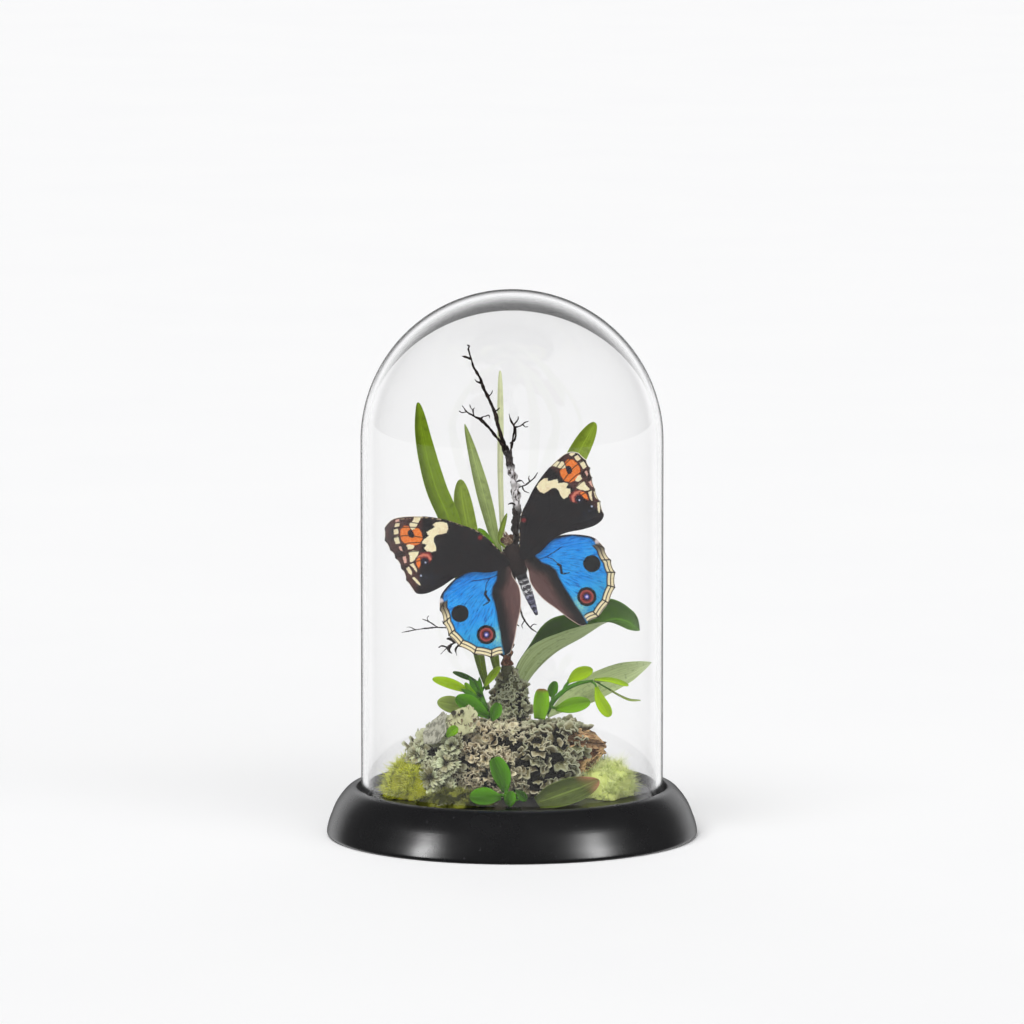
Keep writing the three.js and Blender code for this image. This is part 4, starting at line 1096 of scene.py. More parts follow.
# ---------- twigs
TWIGS = {  # points, radii from foot to tip, and side shoots as (points, radii)
    "twig_trunk": (
        [(-1.3, 2, 41.2), (-1, 1.8, 47.4), (-0.2, 2, 57.3), (0.5, 2, 67), (0.9, 1.8, 75.8),
         (1.2, 1.6, 79.7), (0.6, 1.8, 85.4), (-0.6, 2, 91), (-1.6, 2, 94.6)],
        (1.3, 1.1, 0.95, 0.9, 1.0, 0.85, 0.75),
        [([(-1.8, 2, 93), (-2.2, 1.4, 94.2), (-2.1, 1, 95.2)], (0.55, 0.45, 0.15)),
         ([(0.9, 1.6, 86), (2.2, 1.2, 86.4), (3, 0.8, 85.6)], (0.3, 0.2, 0.1)),
         ([(1.1, 1, 80.4), (-0.1, 0.2, 81), (-1, 0, 80.7)], (0.4, 0.25, 0.12)),
         ([(-0.9, 1, 50.6), (0.8, 0.4, 51.4), (1.7, 0.2, 51)], (0.35, 0.22, 0.12))]),
    "twig_leader": (
        [(-1.5, 2, 94), (-3.1, 2.1, 98.5), (-3.9, 2.4, 101.8), (-5.3, 2.4, 105.4), (-6.7, 2.6, 108.3),
         (-7.8, 2.4, 111.3), (-9.2, 2.2, 113.7), (-9.9, 2, 115.9), (-10.6, 1.8, 118.4)],
        (0.7, 0.55, 0.6, 0.45, 0.55, 0.42, 0.36, 0.42, 0.26),
        [([(-9.9, 2, 115.9), (-11, 1.6, 116.3), (-12.1, 1.4, 116.6)], (0.34, 0.26, 0.12)),
         ([(-10.6, 1.8, 118), (-10.4, 1.6, 119), (-10.9, 1.6, 119.3)], (0.3, 0.24, 0.12)),
         ([(-7.4, 2.3, 110), (-8.4, 2, 110.3), (-9, 1.8, 110.9)], (0.32, 0.22, 0.1)),
         ([(-5.8, 2.4, 106.6), (-5, 2, 107.4), (-4.7, 1.8, 108.2)], (0.32, 0.2, 0.1)),
         ([(-4.4, 2.3, 103), (-3.6, 1.9, 103.4), (-3, 1.8, 104)], (0.3, 0.2, 0.1))]),
    "twig_left_fork": (
        [(-1.9, 1.6, 94.4), (-5.3, 1, 98.9), (-7.4, 0.8, 101.1), (-9.2, 0.6, 102.1), (-10.9, 0.2, 103.2),
         (-12, 0, 104.7)],
        (0.55, 0.42, 0.5, 0.34, 0.3, 0.14),
        [([(-7.6, 0.8, 101.2), (-7, 0.2, 102), (-6.4, 0, 102.1), (-5.6, 0, 102.4), (-5.4, 0, 101.6)],
          (0.34, 0.24, 0.2, 0.12)),
         ([(-9.2, 0.6, 102.1), (-9.4, 0.2, 103.6), (-9, 0, 104.2)], (0.3, 0.2, 0.1)),
         ([(-9.3, 0.2, 103.4), (-10, 0, 104.3), (-10.2, 0, 105)], (0.2, 0.16, 0.1)),
         ([(-10.9, 0.2, 103.2), (-12, 0.2, 103), (-12.8, 0.2, 103.4)], (0.24, 0.16, 0.1))]),
    "twig_right_fork": (
        [(-0.4, 1.6, 91.8), (-0.2, 1.2, 94.2), (0.3, 0.4, 97.2), (0.6, 0, 99.4), (-0.3, -0.4, 101.2),
         (-0.7, -0.6, 102.8)],
        (0.5, 0.4, 0.34, 0.28, 0.12),
        [([(-0.4, 0.9, 95.4), (0.6, 0.1, 96.4), (0.9, -0.1, 98.6), (0.3, -0.3, 100)],
          (0.36, 0.28, 0.26, 0.2)),
         ([(0.6, 0, 99.4), (2, -0.3, 99.8), (3, -0.4, 100.6), (4, -0.5, 101)], (0.26, 0.22, 0.2, 0.1)),
         ([(2.6, -0.3, 100.2), (3.2, -0.6, 99.6), (3.9, -0.6, 99.7)], (0.2, 0.16, 0.1)),
         ([(0.4, -0.2, 100), (1.4, -0.6, 101.4), (1.5, -0.6, 102.2)], (0.22, 0.16, 0.1))]),
    "twig_right_spur": (
        [(1, 1.6, 84.6), (2.1, 1.2, 84.9), (3.2, 0.4, 85.4), (4.3, 0, 86.3), (5.4, -0.4, 87.3),
         (6.2, -0.6, 88.6)],
        (0.4, 0.34, 0.24, 0.26, 0.2, 0.1),
        [([(2.4, 1, 85), (3, 0.4, 84), (4.2, 0, 83.5)], (0.24, 0.18, 0.09)),
         ([(4.3, 0, 86.3), (4, -0.4, 87.2), (4.3, -0.6, 87.9)], (0.2, 0.15, 0.08))]),
    "twig_low_left": (
        [(-1.4, 2.2, 46.9), (-2.8, 2.4, 47.4), (-7, 3, 48.6), (-12, 3.4, 49.8), (-17.3, 3.4, 50.2),
         (-22, 3, 49.9), (-26.8, 2.4, 49.1)],
        (0.5, 0.42, 0.36, 0.34, 0.28, 0.24, 0.1),
        [([(-18, 3.3, 50.2), (-20, 2.8, 51.6), (-21.8, 2.4, 52.4)], (0.26, 0.2, 0.09)),
         ([(-20.4, 2.9, 51.8), (-20.6, 2.6, 52.6), (-20.2, 2.4, 53.2)], (0.16, 0.14, 0.08)),
         ([(-15, 3.2, 50), (-16.4, 2.8, 51), (-17, 2.6, 51.9)], (0.24, 0.18, 0.09)),
         ([(-13, 3.2, 49.9), (-14.2, 2.8, 48.6), (-15.4, 2.6, 48.2)], (0.22, 0.16, 0.09)),
         ([(-23.4, 2.8, 49.7), (-24.8, 2.4, 50.4), (-25.6, 2.2, 50.4)], (0.18, 0.14, 0.08))]),
    "twig_low_left_tuft": (
        [(-1.6, 1.8, 43.4), (-3, 1.6, 44), (-8, 1, 45.6), (-12.4, 0.4, 47), (-15, 0, 46.3),
         (-17.3, -0.4, 44.2)],
        (0.5, 0.4, 0.34, 0.3, 0.26, 0.1),
        [([(-13.6, 0.2, 46.9), (-15, -0.4, 48), (-15.8, -0.6, 48)], (0.4, 0.5, 0.2)),
         ([(-14.6, 0.1, 46.6), (-15.4, -0.4, 45.4), (-14.6, -0.6, 44.4)], (0.4, 0.5, 0.15)),
         ([(-12.4, 0.4, 47), (-13.6, 0, 45.4), (-13.4, -0.2, 43.8)], (0.3, 0.3, 0.1)),
         ([(-15.6, 0, 45.8), (-17, -0.3, 46.2), (-17.8, -0.5, 45.8)], (0.26, 0.2, 0.1))]),
    "twig_low_right": (
        [(0, 1.8, 58.6), (1.5, 1.2, 57), (2.6, 0.6, 53.2), (4.4, 0.6, 50.6), (6.3, 0.8, 49.2)],
        (0.4, 0.3, 0.26, 0.24, 0.1),
        [([(4.4, 0.6, 50.6), (5.2, 0.2, 51.4), (6, 0, 51.4)], (0.2, 0.15, 0.08)),
         ([(3, 0.6, 52.2), (2.4, 0.2, 51.2), (2.6, 0, 50.4)], (0.18, 0.14, 0.08))]),
}


TRUNK = "twig_trunk"
TWIG_GIRTH, SHOOT_GIRTH = 0.72, 0.8  # how far the thin twigs and the shoots are drawn in
REDDISH_UP_TO = (48, 52)  # heights in mm on the trunk
PALE_FROM, PALE_TO = (78, 81), (88.5, 90.5)


class DOME_OT_twigs(bpy.types.Operator):
    """Grows the knobbly dark twig with its forks, spurs and patches of pale bark"""
    bl_idname = "dome.twigs"
    bl_label = "Twigs"

    def execute(self, context):
        material = self.finish(context.scene.dome.wood)
        for seed, (name, (points, radii, shoots)) in enumerate(TWIGS.items()):
            girth = np.array(radii) * (1.0 if name == TRUNK else TWIG_GIRTH)
            form = stem(points, girth, sides=14, fineness=3.4, knobs=0.4, seed=30 + seed)
            surface = Surface().add(*form[:2], thick=float(name == TRUNK))
            for number, (shoot, radii) in enumerate(shoots):
                girth = np.array(radii) * SHOOT_GIRTH
                form = stem(shoot, girth, sides=8, fineness=6, knobs=0.4, seed=60 + number)
                surface.add(*form[:2])
            surface.piece(name + "_bark", material, "twig", (name,))
        return {"FINISHED"}

    @staticmethod
    def finish(settings):
        finish = Finish("twig_bark", Roughness=0.85, Specular_IOR_Level=0.3)
        step, times = finish.step, finish.times
        furrows = finish.noise(0.7, 4, stretch=(1, 1, 4))
        patches = finish.noise(2.4, 4, stretch=(1, 1, 1.8))
        fine = finish.noise(0.3, 3)
        height = times(finish.height(finish.place), 1 / MM)
        pale = times(
            step(patches, 0.4, 0.48), "thick", step(height, *PALE_FROM), step(height, *PALE_TO[::-1]),
            step(furrows, 0.62, 0.52))
        red = finish.blend((96, 56, 38), (150, 104, 78), step(furrows, 0.45, 0.65))
        low = times(step(height, *REDDISH_UP_TO[::-1]), "thick", step(patches, 0.4, 0.46))
        paint = finish.layers(
            settings.twig,
            ((58, 46, 42), step(furrows, 0.45, 0.7)),
            ((20, 17, 17), step(fine, 0.52, 0.7, 0.8)),
            (settings.pale_bark, pale),
            ((124, 118, 112), step(finish.noise(0.9, 3), 0.62, 0.68, 0.5)),
            (red, low))
        relief = finish.plus(furrows, times(fine, 0.4))
        return finish.join(Base_Color=paint, Normal=finish.bump(relief, 0.25))


# ---------- leaves
STRAP = dict(fold=(10, 10), stalk=0.22, widest=0.62, blunt=0.62, thick=0.42, veins=7)
FLESHY = dict(fold=(8, 6), stalk=0.3, widest=0.6, blunt=0.45, thick=0.8, veins=0)
BROAD = dict(fold=(16, 12), stalk=0.16, widest=0.45, blunt=0.85, thick=0.4, veins=5)


def leaf_of(kind, tone, width, face, points, **differences):
    """A leaf of a kind, with what sets it apart."""
    return dict(kind, tone=tone, width=width, face=face, points=points, **differences)


LEAVES = {
    "tall_leaf": leaf_of(STRAP, "strap_green", 5.4, (0.25, -1, 0.1), [
        (-5.9, 2.8, 35), (-7.8, 4, 42), (-11, 5.2, 58), (-14.8, 6, 74.6), (-18.6, 7, 84),
        (-21.4, 7.6, 94.5), (-22.9, 7.6, 104.7)], blunt=0.5, thick=0.36),
    "round_leaf": leaf_of(STRAP, "mid_green", 4.9, (0, -1, 0.1), [
        (-3.2, 6.8, 36.6), (-4.4, 7.6, 43), (-7.2, 8.2, 58), (-10.2, 8, 71), (-11.9, 7.4, 79.8),
        (-12.6, 6.6, 86)], blunt=0.45, widest=0.7),
    "slim_leaf": leaf_of(STRAP, "grey_green", 3.4, (0.1, -1, 0), [
        (-1.3, 2.9, 64), (-3.9, 4.6, 71), (-5.9, 5.6, 78.6), (-8.1, 6, 87), (-11.5, 6, 99.6)], veins=9),
    "pale_leaf": leaf_of(STRAP, "faded_green", 1.55, (0, -1, 0), [
        (0.2, 3.7, 60.6), (-2, 7.2, 70), (-2.8, 9, 85), (-2.8, 9.4, 98), (-2.9, 9.2, 112.3)], blunt=0.35,
        stalk=0.5, widest=0.8, veins=3),
    "bud_leaf": leaf_of(STRAP, "mid_green", 1.3, (0, -1, 0), [
        (-0.9, 1.6, 69.4), (-2.9, 1.7, 71.6), (-2.2, 1.9, 75.4), (-1.2, 1.9, 78.4)], veins=3),
    "short_leaf": leaf_of(STRAP, "bright_green", 1.8, (0, -1, 0.2), [
        (-1.1, 1.1, 67), (-4.4, 1.8, 70.2), (-6.8, 2.8, 73), (-8.2, 3.2, 74.5)], veins=3),
    "top_leaf": leaf_of(STRAP, "mid_green", 5, (-0.2, -1, 0.1), [
        (2.1, 3.2, 62), (5.8, 5.8, 71.4), (10.9, 7, 82), (16, 6.6, 92), (20.2, 5.4, 100)], widest=0.74,
        blunt=0.42),
    "folded_leaf": leaf_of(BROAD, "glossy_green", 14, (-0.5, -0.15, 0.8), [
        (1.8, 9.6, 33), (5.2, 8.4, 38.4), (10.4, 7, 43.6), (17, 5.6, 47.6), (23.4, 4.6, 51.6),
        (27.8, 4, 51.6), (31.2, 3.6, 49.4)], fold=(66, 12), stalk=0.42, widest=0.4, veins=9,
        tip_face=(0.1, -0.85, 0.5)),
    "side_leaf": leaf_of(BROAD, "pale_green", 7.6, (-0.25, -0.85, 0.5), [
        (8.6, 5.6, 28), (14.8, 6.8, 31.8), (23.1, 6.4, 36.2), (29.4, 4.4, 39.2), (34.2, 1.6, 41.9)],
        veins=7, pale_face=True),
    "fallen_leaf": leaf_of(BROAD, "dry_olive", 8.6, (0.1, -0.55, 0.83), [
        (6, -28, 12.2), (10, -26.8, 13.4), (15.4, -24.4, 15), (20.6, -20.8, 16.7)], stalk=0.5, blunt=0.55,
        fold=(6, 6), withered=True),
    "tucked_leaf": leaf_of(FLESHY, "olive_green", 4.2, (0, -1, 0.3), [
        (-12, 3.4, 29.6), (-14, 3.6, 31), (-18.2, 3.4, 32)], blunt=0.5),
    "right_sprig_upright_leaf": leaf_of(FLESHY, "bright_green", 3.9, (0.1, -1, 0.1), [
        (6.6, -6.2, 29.2), (7, -6, 32.4), (7.25, -5.4, 36.5)], blunt=0.25, stalk=0.7, brown_tip=True),
    "right_sprig_low_leaf": leaf_of(FLESHY, "bright_green", 3.8, (0, -1, 0.25), [
        (10.6, -3.4, 31.2), (14.1, -4.6, 32.2), (18.9, -5, 33.2)]),
    "right_sprig_dark_leaf": leaf_of(FLESHY, "deep_green", 2.6, (-0.3, -1, 0), [
        (9.8, 0.8, 33.4), (9.8, 0.9, 34.8), (10.6, 0.8, 37.4)]),
    "right_sprig_top_leaf": leaf_of(FLESHY, "lime_green", 3.4, (-0.5, -0.9, 0.3), [
        (13.6, 0.3, 37.2), (16, 0.2, 39), (19.6, -0.4, 40.4)]),
    "right_sprig_level_leaf": leaf_of(FLESHY, "lime_green", 2.1, (0, -0.5, 0.85), [
        (20, -1.6, 38.1), (24, -2, 38), (28.2, -2.4, 36.8)], widest=0.72),
    "right_sprig_hanging_leaf": leaf_of(FLESHY, "lime_green", 3, (0, -1, 0.1), [
        (20.4, -2, 36.4), (21.4, -3, 33.2), (23.7, -3.6, 29.4)], blunt=0.4, widest=0.72),
    "right_sprig_curl": leaf_of(FLESHY, "olive_green", 0.8, (0, -0.6, 0.8), [
        (23.6, 1.4, 35.4), (26.4, 1.8, 33.6), (28.8, 2, 32.6), (31.4, 2, 32.5)], thick=0.5),
    "left_sprig_outer_leaf": leaf_of(FLESHY, "lime_green", 3.2, (0.2, -0.7, 0.7), [
        (-10, -0.6, 35), (-14.6, -0.6, 36.8), (-19.3, -0.8, 38.2)]),
    "left_sprig_dark_leaf": leaf_of(FLESHY, "dark_green", 2.2, (0.2, -0.5, 0.85), [
        (-8.8, 2.2, 37.2), (-11.4, 2.4, 38.2), (-14.4, 2.2, 39.4)]),
    "left_sprig_narrow_leaf": leaf_of(FLESHY, "bright_green", 1.6, (0, -1, 0.2), [
        (-8.2, -1.8, 33.4), (-9.8, -1.8, 35.2), (-11.4, -1.6, 37.4)]),
    "left_sprig_inner_leaf": leaf_of(FLESHY, "deep_green", 1.5, (0, -1, 0.1), [
        (-7, -1.8, 34.2), (-8, -1.6, 36), (-9, -1.4, 38)]),
    "left_sprig_front_leaf": leaf_of(FLESHY, "deep_green", 4.6, (0.25, -0.85, 0.45), [
        (-5.4, -5, 29.4), (-9.4, -5.6, 32.2), (-13.6, -5.4, 34.4)]),
    "left_sprig_low_leaf": leaf_of(FLESHY, "deep_green", 3, (-0.2, -1, 0.2), [
        (-4.8, -6.8, 28.9), (-4, -7, 30.8), (-3.2, -6.6, 33.2)]),
    "left_sprig_high_leaf": leaf_of(FLESHY, "lime_green", 2, (-0.4, -0.9, 0.1), [
        (-6.6, 0.4, 36.2), (-5, 0, 38.6), (-2.9, -0.6, 41.2)]),
    "tiny_leaf": leaf_of(FLESHY, "bright_green", 2.4, (0, -1, 0.2), [
        (-15.6, -15.6, 26.4), (-14.4, -16.2, 27.7), (-13, -15.8, 28.7)], thick=0.6),
    "front_sprig_upright_leaf": leaf_of(FLESHY, "deep_green", 4.5, (0.15, -1, 0.2), [
        (-1.6, -20.4, 13.6), (-2.4, -19.8, 17.4), (-4.2, -18.8, 21.8)], blunt=0.3, stalk=0.35),
    "front_sprig_left_leaf": leaf_of(FLESHY, "deep_green", 5, (0, -0.75, 0.65), [
        (-2.6, -25.6, 13.2), (-5.8, -26, 13.4), (-10, -25.6, 13.4)], blunt=0.4),
    "front_sprig_round_leaf": leaf_of(FLESHY, "deep_green", 3, (-0.3, -0.9, 0.5), [
        (-0.5, -29.2, 11.6), (-0.4, -29.4, 13.2), (-0.3, -28.6, 15.2)], blunt=0.4),
    "front_sprig_dark_leaf": leaf_of(FLESHY, "dark_green", 2.2, (-0.3, -0.8, 0.5), [
        (1, -23.8, 14.6), (2.2, -25, 13.6), (3.4, -26, 12.4)]),
}
STEMS = {
    "right_sprig_stem": (
        [(8.2, -1.2, 29.8), (10.2, -0.9, 33), (13, -0.9, 35.6), (16, -1.1, 37.1), (19.6, -1.7, 37.9)],
        (0.7, 0.6, 0.55, 0.5, 0.3),
        [([(9.4, -1, 31.6), (10, -2.4, 31.4), (11.2, -3.6, 31.4)], (0.45, 0.35, 0.3)),
         ([(10, -0.9, 32.6), (9.8, 0, 33), (9.8, 0.8, 33.8)], (0.4, 0.35, 0.3)),
         ([(12.4, -0.9, 35), (13, -0.2, 36.4), (14, 0.3, 37.5)], (0.45, 0.4, 0.35)),
         ([(19, -1.6, 37.8), (20, -1.9, 37.2), (20.5, -2.1, 36.2)], (0.32, 0.28, 0.24)),
         ([(20, -1.2, 37.9), (22, 0.4, 36.4), (24, 1.4, 35.1)], (0.24, 0.2, 0.16))]),
    "left_sprig_stem": (
        [(-6.2, -3, 30.8), (-7.2, -0.6, 33.4), (-8.2, 0.4, 36.4)],
        (0.75, 0.65, 0.4),
        [([(-7.4, -0.6, 33.8), (-8.6, -0.6, 34.4), (-10.4, -0.6, 35.2)], (0.5, 0.4, 0.35)),
         ([(-6.6, -2.4, 31.4), (-6.6, -3.8, 30.8), (-6.6, -4.9, 30.7)], (0.5, 0.4, 0.35)),
         ([(-7.2, -1, 33), (-7.8, -1.5, 33.2), (-8.4, -1.8, 33.7)], (0.4, 0.3, 0.25)),
         ([(-8, 0.3, 35.8), (-8.4, 1.4, 36.6), (-9.2, 2.2, 37.4)], (0.36, 0.3, 0.26)),
         ([(-7.6, -0.8, 34), (-9.2, -1.4, 36.2), (-10.4, -1.2, 38.7)], (0.3, 0.75, 0.7, 0.1)),
         ([(-7.8, -1.4, 33.2), (-10, -2.2, 34.6), (-12.4, -2.2, 36)], (0.3, 0.8, 0.75, 0.1)),
         ([(-7.4, -0.8, 34), (-7.8, -1, 36.6), (-7.9, -0.8, 38.6)], (0.3, 0.7, 0.6, 0.1)),
         ([(-7.6, 0, 34.6), (-7, 0.2, 35.6), (-6.4, 0.4, 36.6)], (0.36, 0.3, 0.26))]),
    "front_sprig_stem": (
        [(-0.7, -23, 11), (-1.2, -22.6, 12.6), (-1.4, -22, 14.8)],
        (0.8, 0.75, 0.5),
        [([(-1.2, -22.4, 13.2), (-1.3, -21.4, 13.6), (-1.5, -20.4, 14.4)], (0.5, 0.45, 0.4)),
         ([(-1, -22.8, 12.6), (-1.6, -24, 13.2), (-2.8, -25.2, 13.7)], (0.5, 0.45, 0.4)),
         ([(-0.8, -23, 11.8), (-0.7, -24.8, 11.8), (-0.7, -26, 12)], (0.4, 0.36, 0.3)),
         ([(-0.8, -22.8, 12), (0.8, -21.8, 11.8), (2.1, -20.8, 12.1)], (0.36, 0.3, 0.24))]),
}


def blade_share(t, leaf):
    """The share of a blade's full width at shares of its length."""
    widest = leaf["widest"]
    lower = leaf["stalk"] + (1 - leaf["stalk"]) * np.sin(np.minimum(t / widest, 1) * math.pi / 2) ** 1.3
    upper = np.cos(np.clip((t - widest) / (1 - widest), 0, 1) * math.pi / 2)
    return np.where(t < widest, lower, np.maximum(upper, 0) ** leaf["blunt"])


def blade(leaf, seed):
    """Grids of a leaf blade's upper and lower sides, and where each point lies on it."""
    points = np.array(leaf["points"], float)
    span = np.linalg.norm(np.diff(points, axis=0), axis=1).sum()
    stations = int(np.clip(span * 1.5, 22, 72))
    t = (1 - (1 - np.linspace(0, 1, stations)) ** 1.7) * 0.9995
    place, along = smooth_line(points, t)
    first, last = unit(leaf["face"]), unit(leaf.get("tip_face", leaf["face"]))
    facing = unit(first + (last - first) * (t ** 2)[:, None])
    across, up = section_axes(along, facing)
    u = np.sin(np.linspace(-1, 1, 19) * math.pi / 2)
    fold = np.radians(leaf["fold"][0] + (leaf["fold"][1] - leaf["fold"][0]) * t ** 2)
    width = leaf["width"] / 2 * blade_share(t, leaf)
    side = (width * np.cos(fold))[:, None] * u
    vee = (np.sqrt(u ** 2 + 0.012) - 0.11) / 0.896
    rise = (width * np.sin(fold))[:, None] * vee
    sway = ripple(np.stack([t * span, np.full_like(t, seed), 0 * t], axis=1), 9, seed)
    rise = rise + 0.035 * leaf["width"] * sway[:, None] * u ** 2 * (np.sign(u) + 0.4)
    half = leaf["thick"] / 2 * (1 - 0.45 * t)[:, None] * np.sqrt(np.maximum(1 - u ** 2, 0.004))
    rib = 0.16 * leaf["thick"] * np.exp(-(u / 0.09) ** 2) * (1 - 0.7 * t)[:, None]
    strands = np.cos(u * math.pi * leaf["veins"]) * 0.018 * bool(leaf["veins"])
    grid = place[:, None] + across[:, None] * side[..., None]
    top = grid + up[:, None] * (rise + half - 2 * rib + strands)[..., None]
    bottom = grid + up[:, None] * (rise - half - 2.4 * rib)[..., None]
    return top, bottom, np.broadcast_to(t[:, None], side.shape), np.broadcast_to(u, side.shape)


class DOME_OT_leaves(bpy.types.Operator):
    """Grows the strap leaves, the broad leaves and the fleshy leaves of the sprigs"""
    bl_idname = "dome.leaves"
    bl_label = "Leaves and sprigs"

    def execute(self, context):
        settings = context.scene.dome.leaves
        finishes = {}
        for seed, (name, leaf) in enumerate(LEAVES.items()):
            tone = leaf["tone"]
            if tone not in finishes:
                finishes[tone] = self.finish(tone, getattr(settings, tone))
            top, bottom, t, u = blade(leaf, seed)
            under = np.repeat([0.0, 1.0], t.size)
            if leaf.get("pale_face"):
                under[:] = 1.0
            Surface().add(
                *shell(top, bottom), along=np.tile(t.ravel(), 2), across=np.tile(u.ravel(), 2), under=under,
                fleshy=float(leaf["veins"] == 0), brown=float(leaf.get("brown_tip", False)),
                withered=float(leaf.get("withered", False)), shade=(seed * 0.37) % 1,
            ).piece(name + "_blade", finishes[tone], "leaf", (name,))
        green = self.finish("sprig_stem", settings.stem)
        for seed, (name, (line, radii, shoots)) in enumerate(STEMS.items()):
            surface = Surface()
            for points, girths in [(line, radii)] + shoots:
                form, faces, along = stem(points, girths, sides=12, fineness=4, knobs=0.05, seed=seed)
                surface.add(form, faces, along=along, fleshy=1.0, shade=0.4)
            surface.piece(name + "_green", green, "leaf", (name,))
        return {"FINISHED"}

    @staticmethod
    def finish(name, colour):
        """A leaf's green, with darker and lighter kinds of it worked out from the one colour, for its mottle
        and streaks and for painted shade and painted highlights on its sides and rims.
        """
        finish = Finish(name, Specular_IOR_Level=0.3)
        step, times = finish.step, finish.times
        brightest = max(colour[:3])
        darken = 0.25 + 0.6 * brightest  # pale leaves are shaded less
        lighten = 1.35 + 2.9 * math.exp(-8 * brightest)  # dark leaves get a stronger lighter copy, for paler streaks and for painted highlights on their rims and sides
        deep = (*(channel * darken for channel in colour[:3]), 1.0)
        light = (*(min(channel * lighten, 1.0) for channel in colour[:3]), 1.0)
        away = finish.maths("ABSOLUTE", "across")
        thin = finish.maths("SUBTRACT", 1.0, "fleshy")
        lane = finish.flat(times("across", 9.0), times("along", 1.6), "shade")
        lines, strands = finish.noise(0.9, 4, place=lane), finish.noise(0.5, 3, place=lane)
        cloud, mottle = finish.noise(3.4, 4), finish.noise(1.3, 4)
        back = finish.layers(
            finish.blend(light, (214, 230, 172), 0.85),
            ((162, 184, 110), step(strands, 0.42, 0.66, 0.7)),
            ((118, 146, 78), step(mottle, 0.55, 0.72, 0.5)))
        withered = times("withered", step("along", 0.7, 0.97), step(away, 0.2, 0.9, 0.95, 0.3))
        paint = finish.layers(
            colour,
            (deep, step(cloud, 0.45, 0.75, 0.5)),
            (light, step(lines, 0.48, 0.7, 0.55)),
            (deep, times(step(mottle, 0.5, 0.7, 0.5), thin)),
            (deep, step("along", 0.35, 0.0, 0.5)),
            # painted shade: one side of a thin leaf is darker
            (deep, times(step("across", 0.1, 0.9, 0.75), thin)),
            # painted highlight and painted shade: one side of a fleshy leaf is lighter, the other darker
            (light, times(step("across", 0.2, -0.9, 0.7), "fleshy")),
            (deep, times(step("across", 0.25, 0.95, 0.5), "fleshy")),
            # a paler midrib, partly its own colour and partly a painted highlight
            (light, times(step(away, 0.1, 0.02, 0.5), step("fleshy", 0.6, 0.4, 1.0, 0.15))),
            # painted sheen: a broad lighter band towards a fleshy leaf's rims
            (light, times(step(away, 0.45, 0.95, 0.5), "fleshy")),
            # painted highlight: a lighter rim on every leaf
            (light, step(away, 0.9, 0.985, 0.5)),
            (back, "under"),
            ((122, 84, 40), times("brown", step("along", 0.86, 0.99))),
            ((168, 118, 86), withered),
            ((104, 92, 40), times(step(finish.noise(0.8, 2), 0.7, 0.76, 0.35), thin)))
        relief = finish.plus(times(lines, 0.8), finish.noise(0.4, 2))
        return finish.join(
            Base_Color=paint, Roughness=step(cloud, 0.3, 0.7, 0.58, 0.42), Normal=finish.bump(relief, 0.06))


# ---------- wood, lichen and moss
LOG_MIDDLE, LOG_HALF, LOG_RADIUS = np.array([1, -3.6, 19.7]), 21, 8.2
LOG_TIP = np.array([22.3, -3.8, 21.9])  # where the splintered end runs to
SPLINTERS = 64
CRUST = dict(centre=(-3.4, -3.8, 18.2), radii=(22.2, 10.8, 10.8), square=3.2, lump=0.6, waves=5.2)
CRUST_END = dict(centre=(9.6, -3.8, 20.2), radii=(9, 6.6, 6.6), square=4, lump=0.2, waves=4)
CRUST_TONE = (-22, -15, -11, -2, 6, 16), (0.12, 0.2, 0.9, 0.75, 0.35, 0.2)  # how beige it is, by x
STUMP = dict(centre=(-0.4, 3.6, 30.5), radii=(5.7, 5, 7.6), square=2, lump=0.6, waves=4.1)
STUMP_NECK = [(-0.3, 3.2, 33), (-0.9, 2.4, 38), (-1.3, 2, 41.2)]
# The mounds of moss: how pale and how dim they are (dim is a painted shadow, on the front cushion below the
# lichen), how far the strands draw them in, how long the strands are, and the share of a full cushion's
# tufts.
MOSS = {
    "moss_left": dict(
        centre=(-22, -4.5, 10.2), radii=(10, 13, 11.6), square=2, lump=0.5, waves=3.4,
        pale=0.0, dim=0.0, shrink=0.9, strand=1.0, share=1.0, behind_rosettes=True),
    "moss_right": dict(
        centre=(22.6, -4, 10.2), radii=(8, 12, 9.4), square=2, lump=0.5, waves=2.7,
        pale=1.0, dim=0.0, shrink=0.9, strand=1.0, share=0.9),
    "moss_front": dict(
        centre=(-13.6, -20.3, 10), radii=(10, 7, 4.4), square=2, lump=0.4, waves=3.1,
        pale=0.2, dim=1.0, shrink=0.3, strand=0.6, share=0.55),
}
MOSS_REACH = 33.8  # the strands stay within this radius, inside the glass
STRANDS, STRAND_GIRTH = 24, 0.085  # in each tuft
ROSETTES = [  # middle and size of the flat rosettes on the crust's left end
    ((-19.3, -13.4, 15.8), 4.2), ((-15.6, -14.4, 19.6), 3.4), ((-22.4, -9.6, 20.6), 3.2),
    ((-16.2, -14.6, 13.6), 3.4), ((-21.6, -10.6, 17.2), 2.8), ((-14.4, -14.2, 24), 2.8)]


def kind(size, spread, curl, ruffle, tilt, folds=(1.5, 3)):
    """A kind of lobe: the ranges of its size, half opening, curl, ruffle, tilt and folds."""
    return size, spread, curl, ruffle, tilt, folds


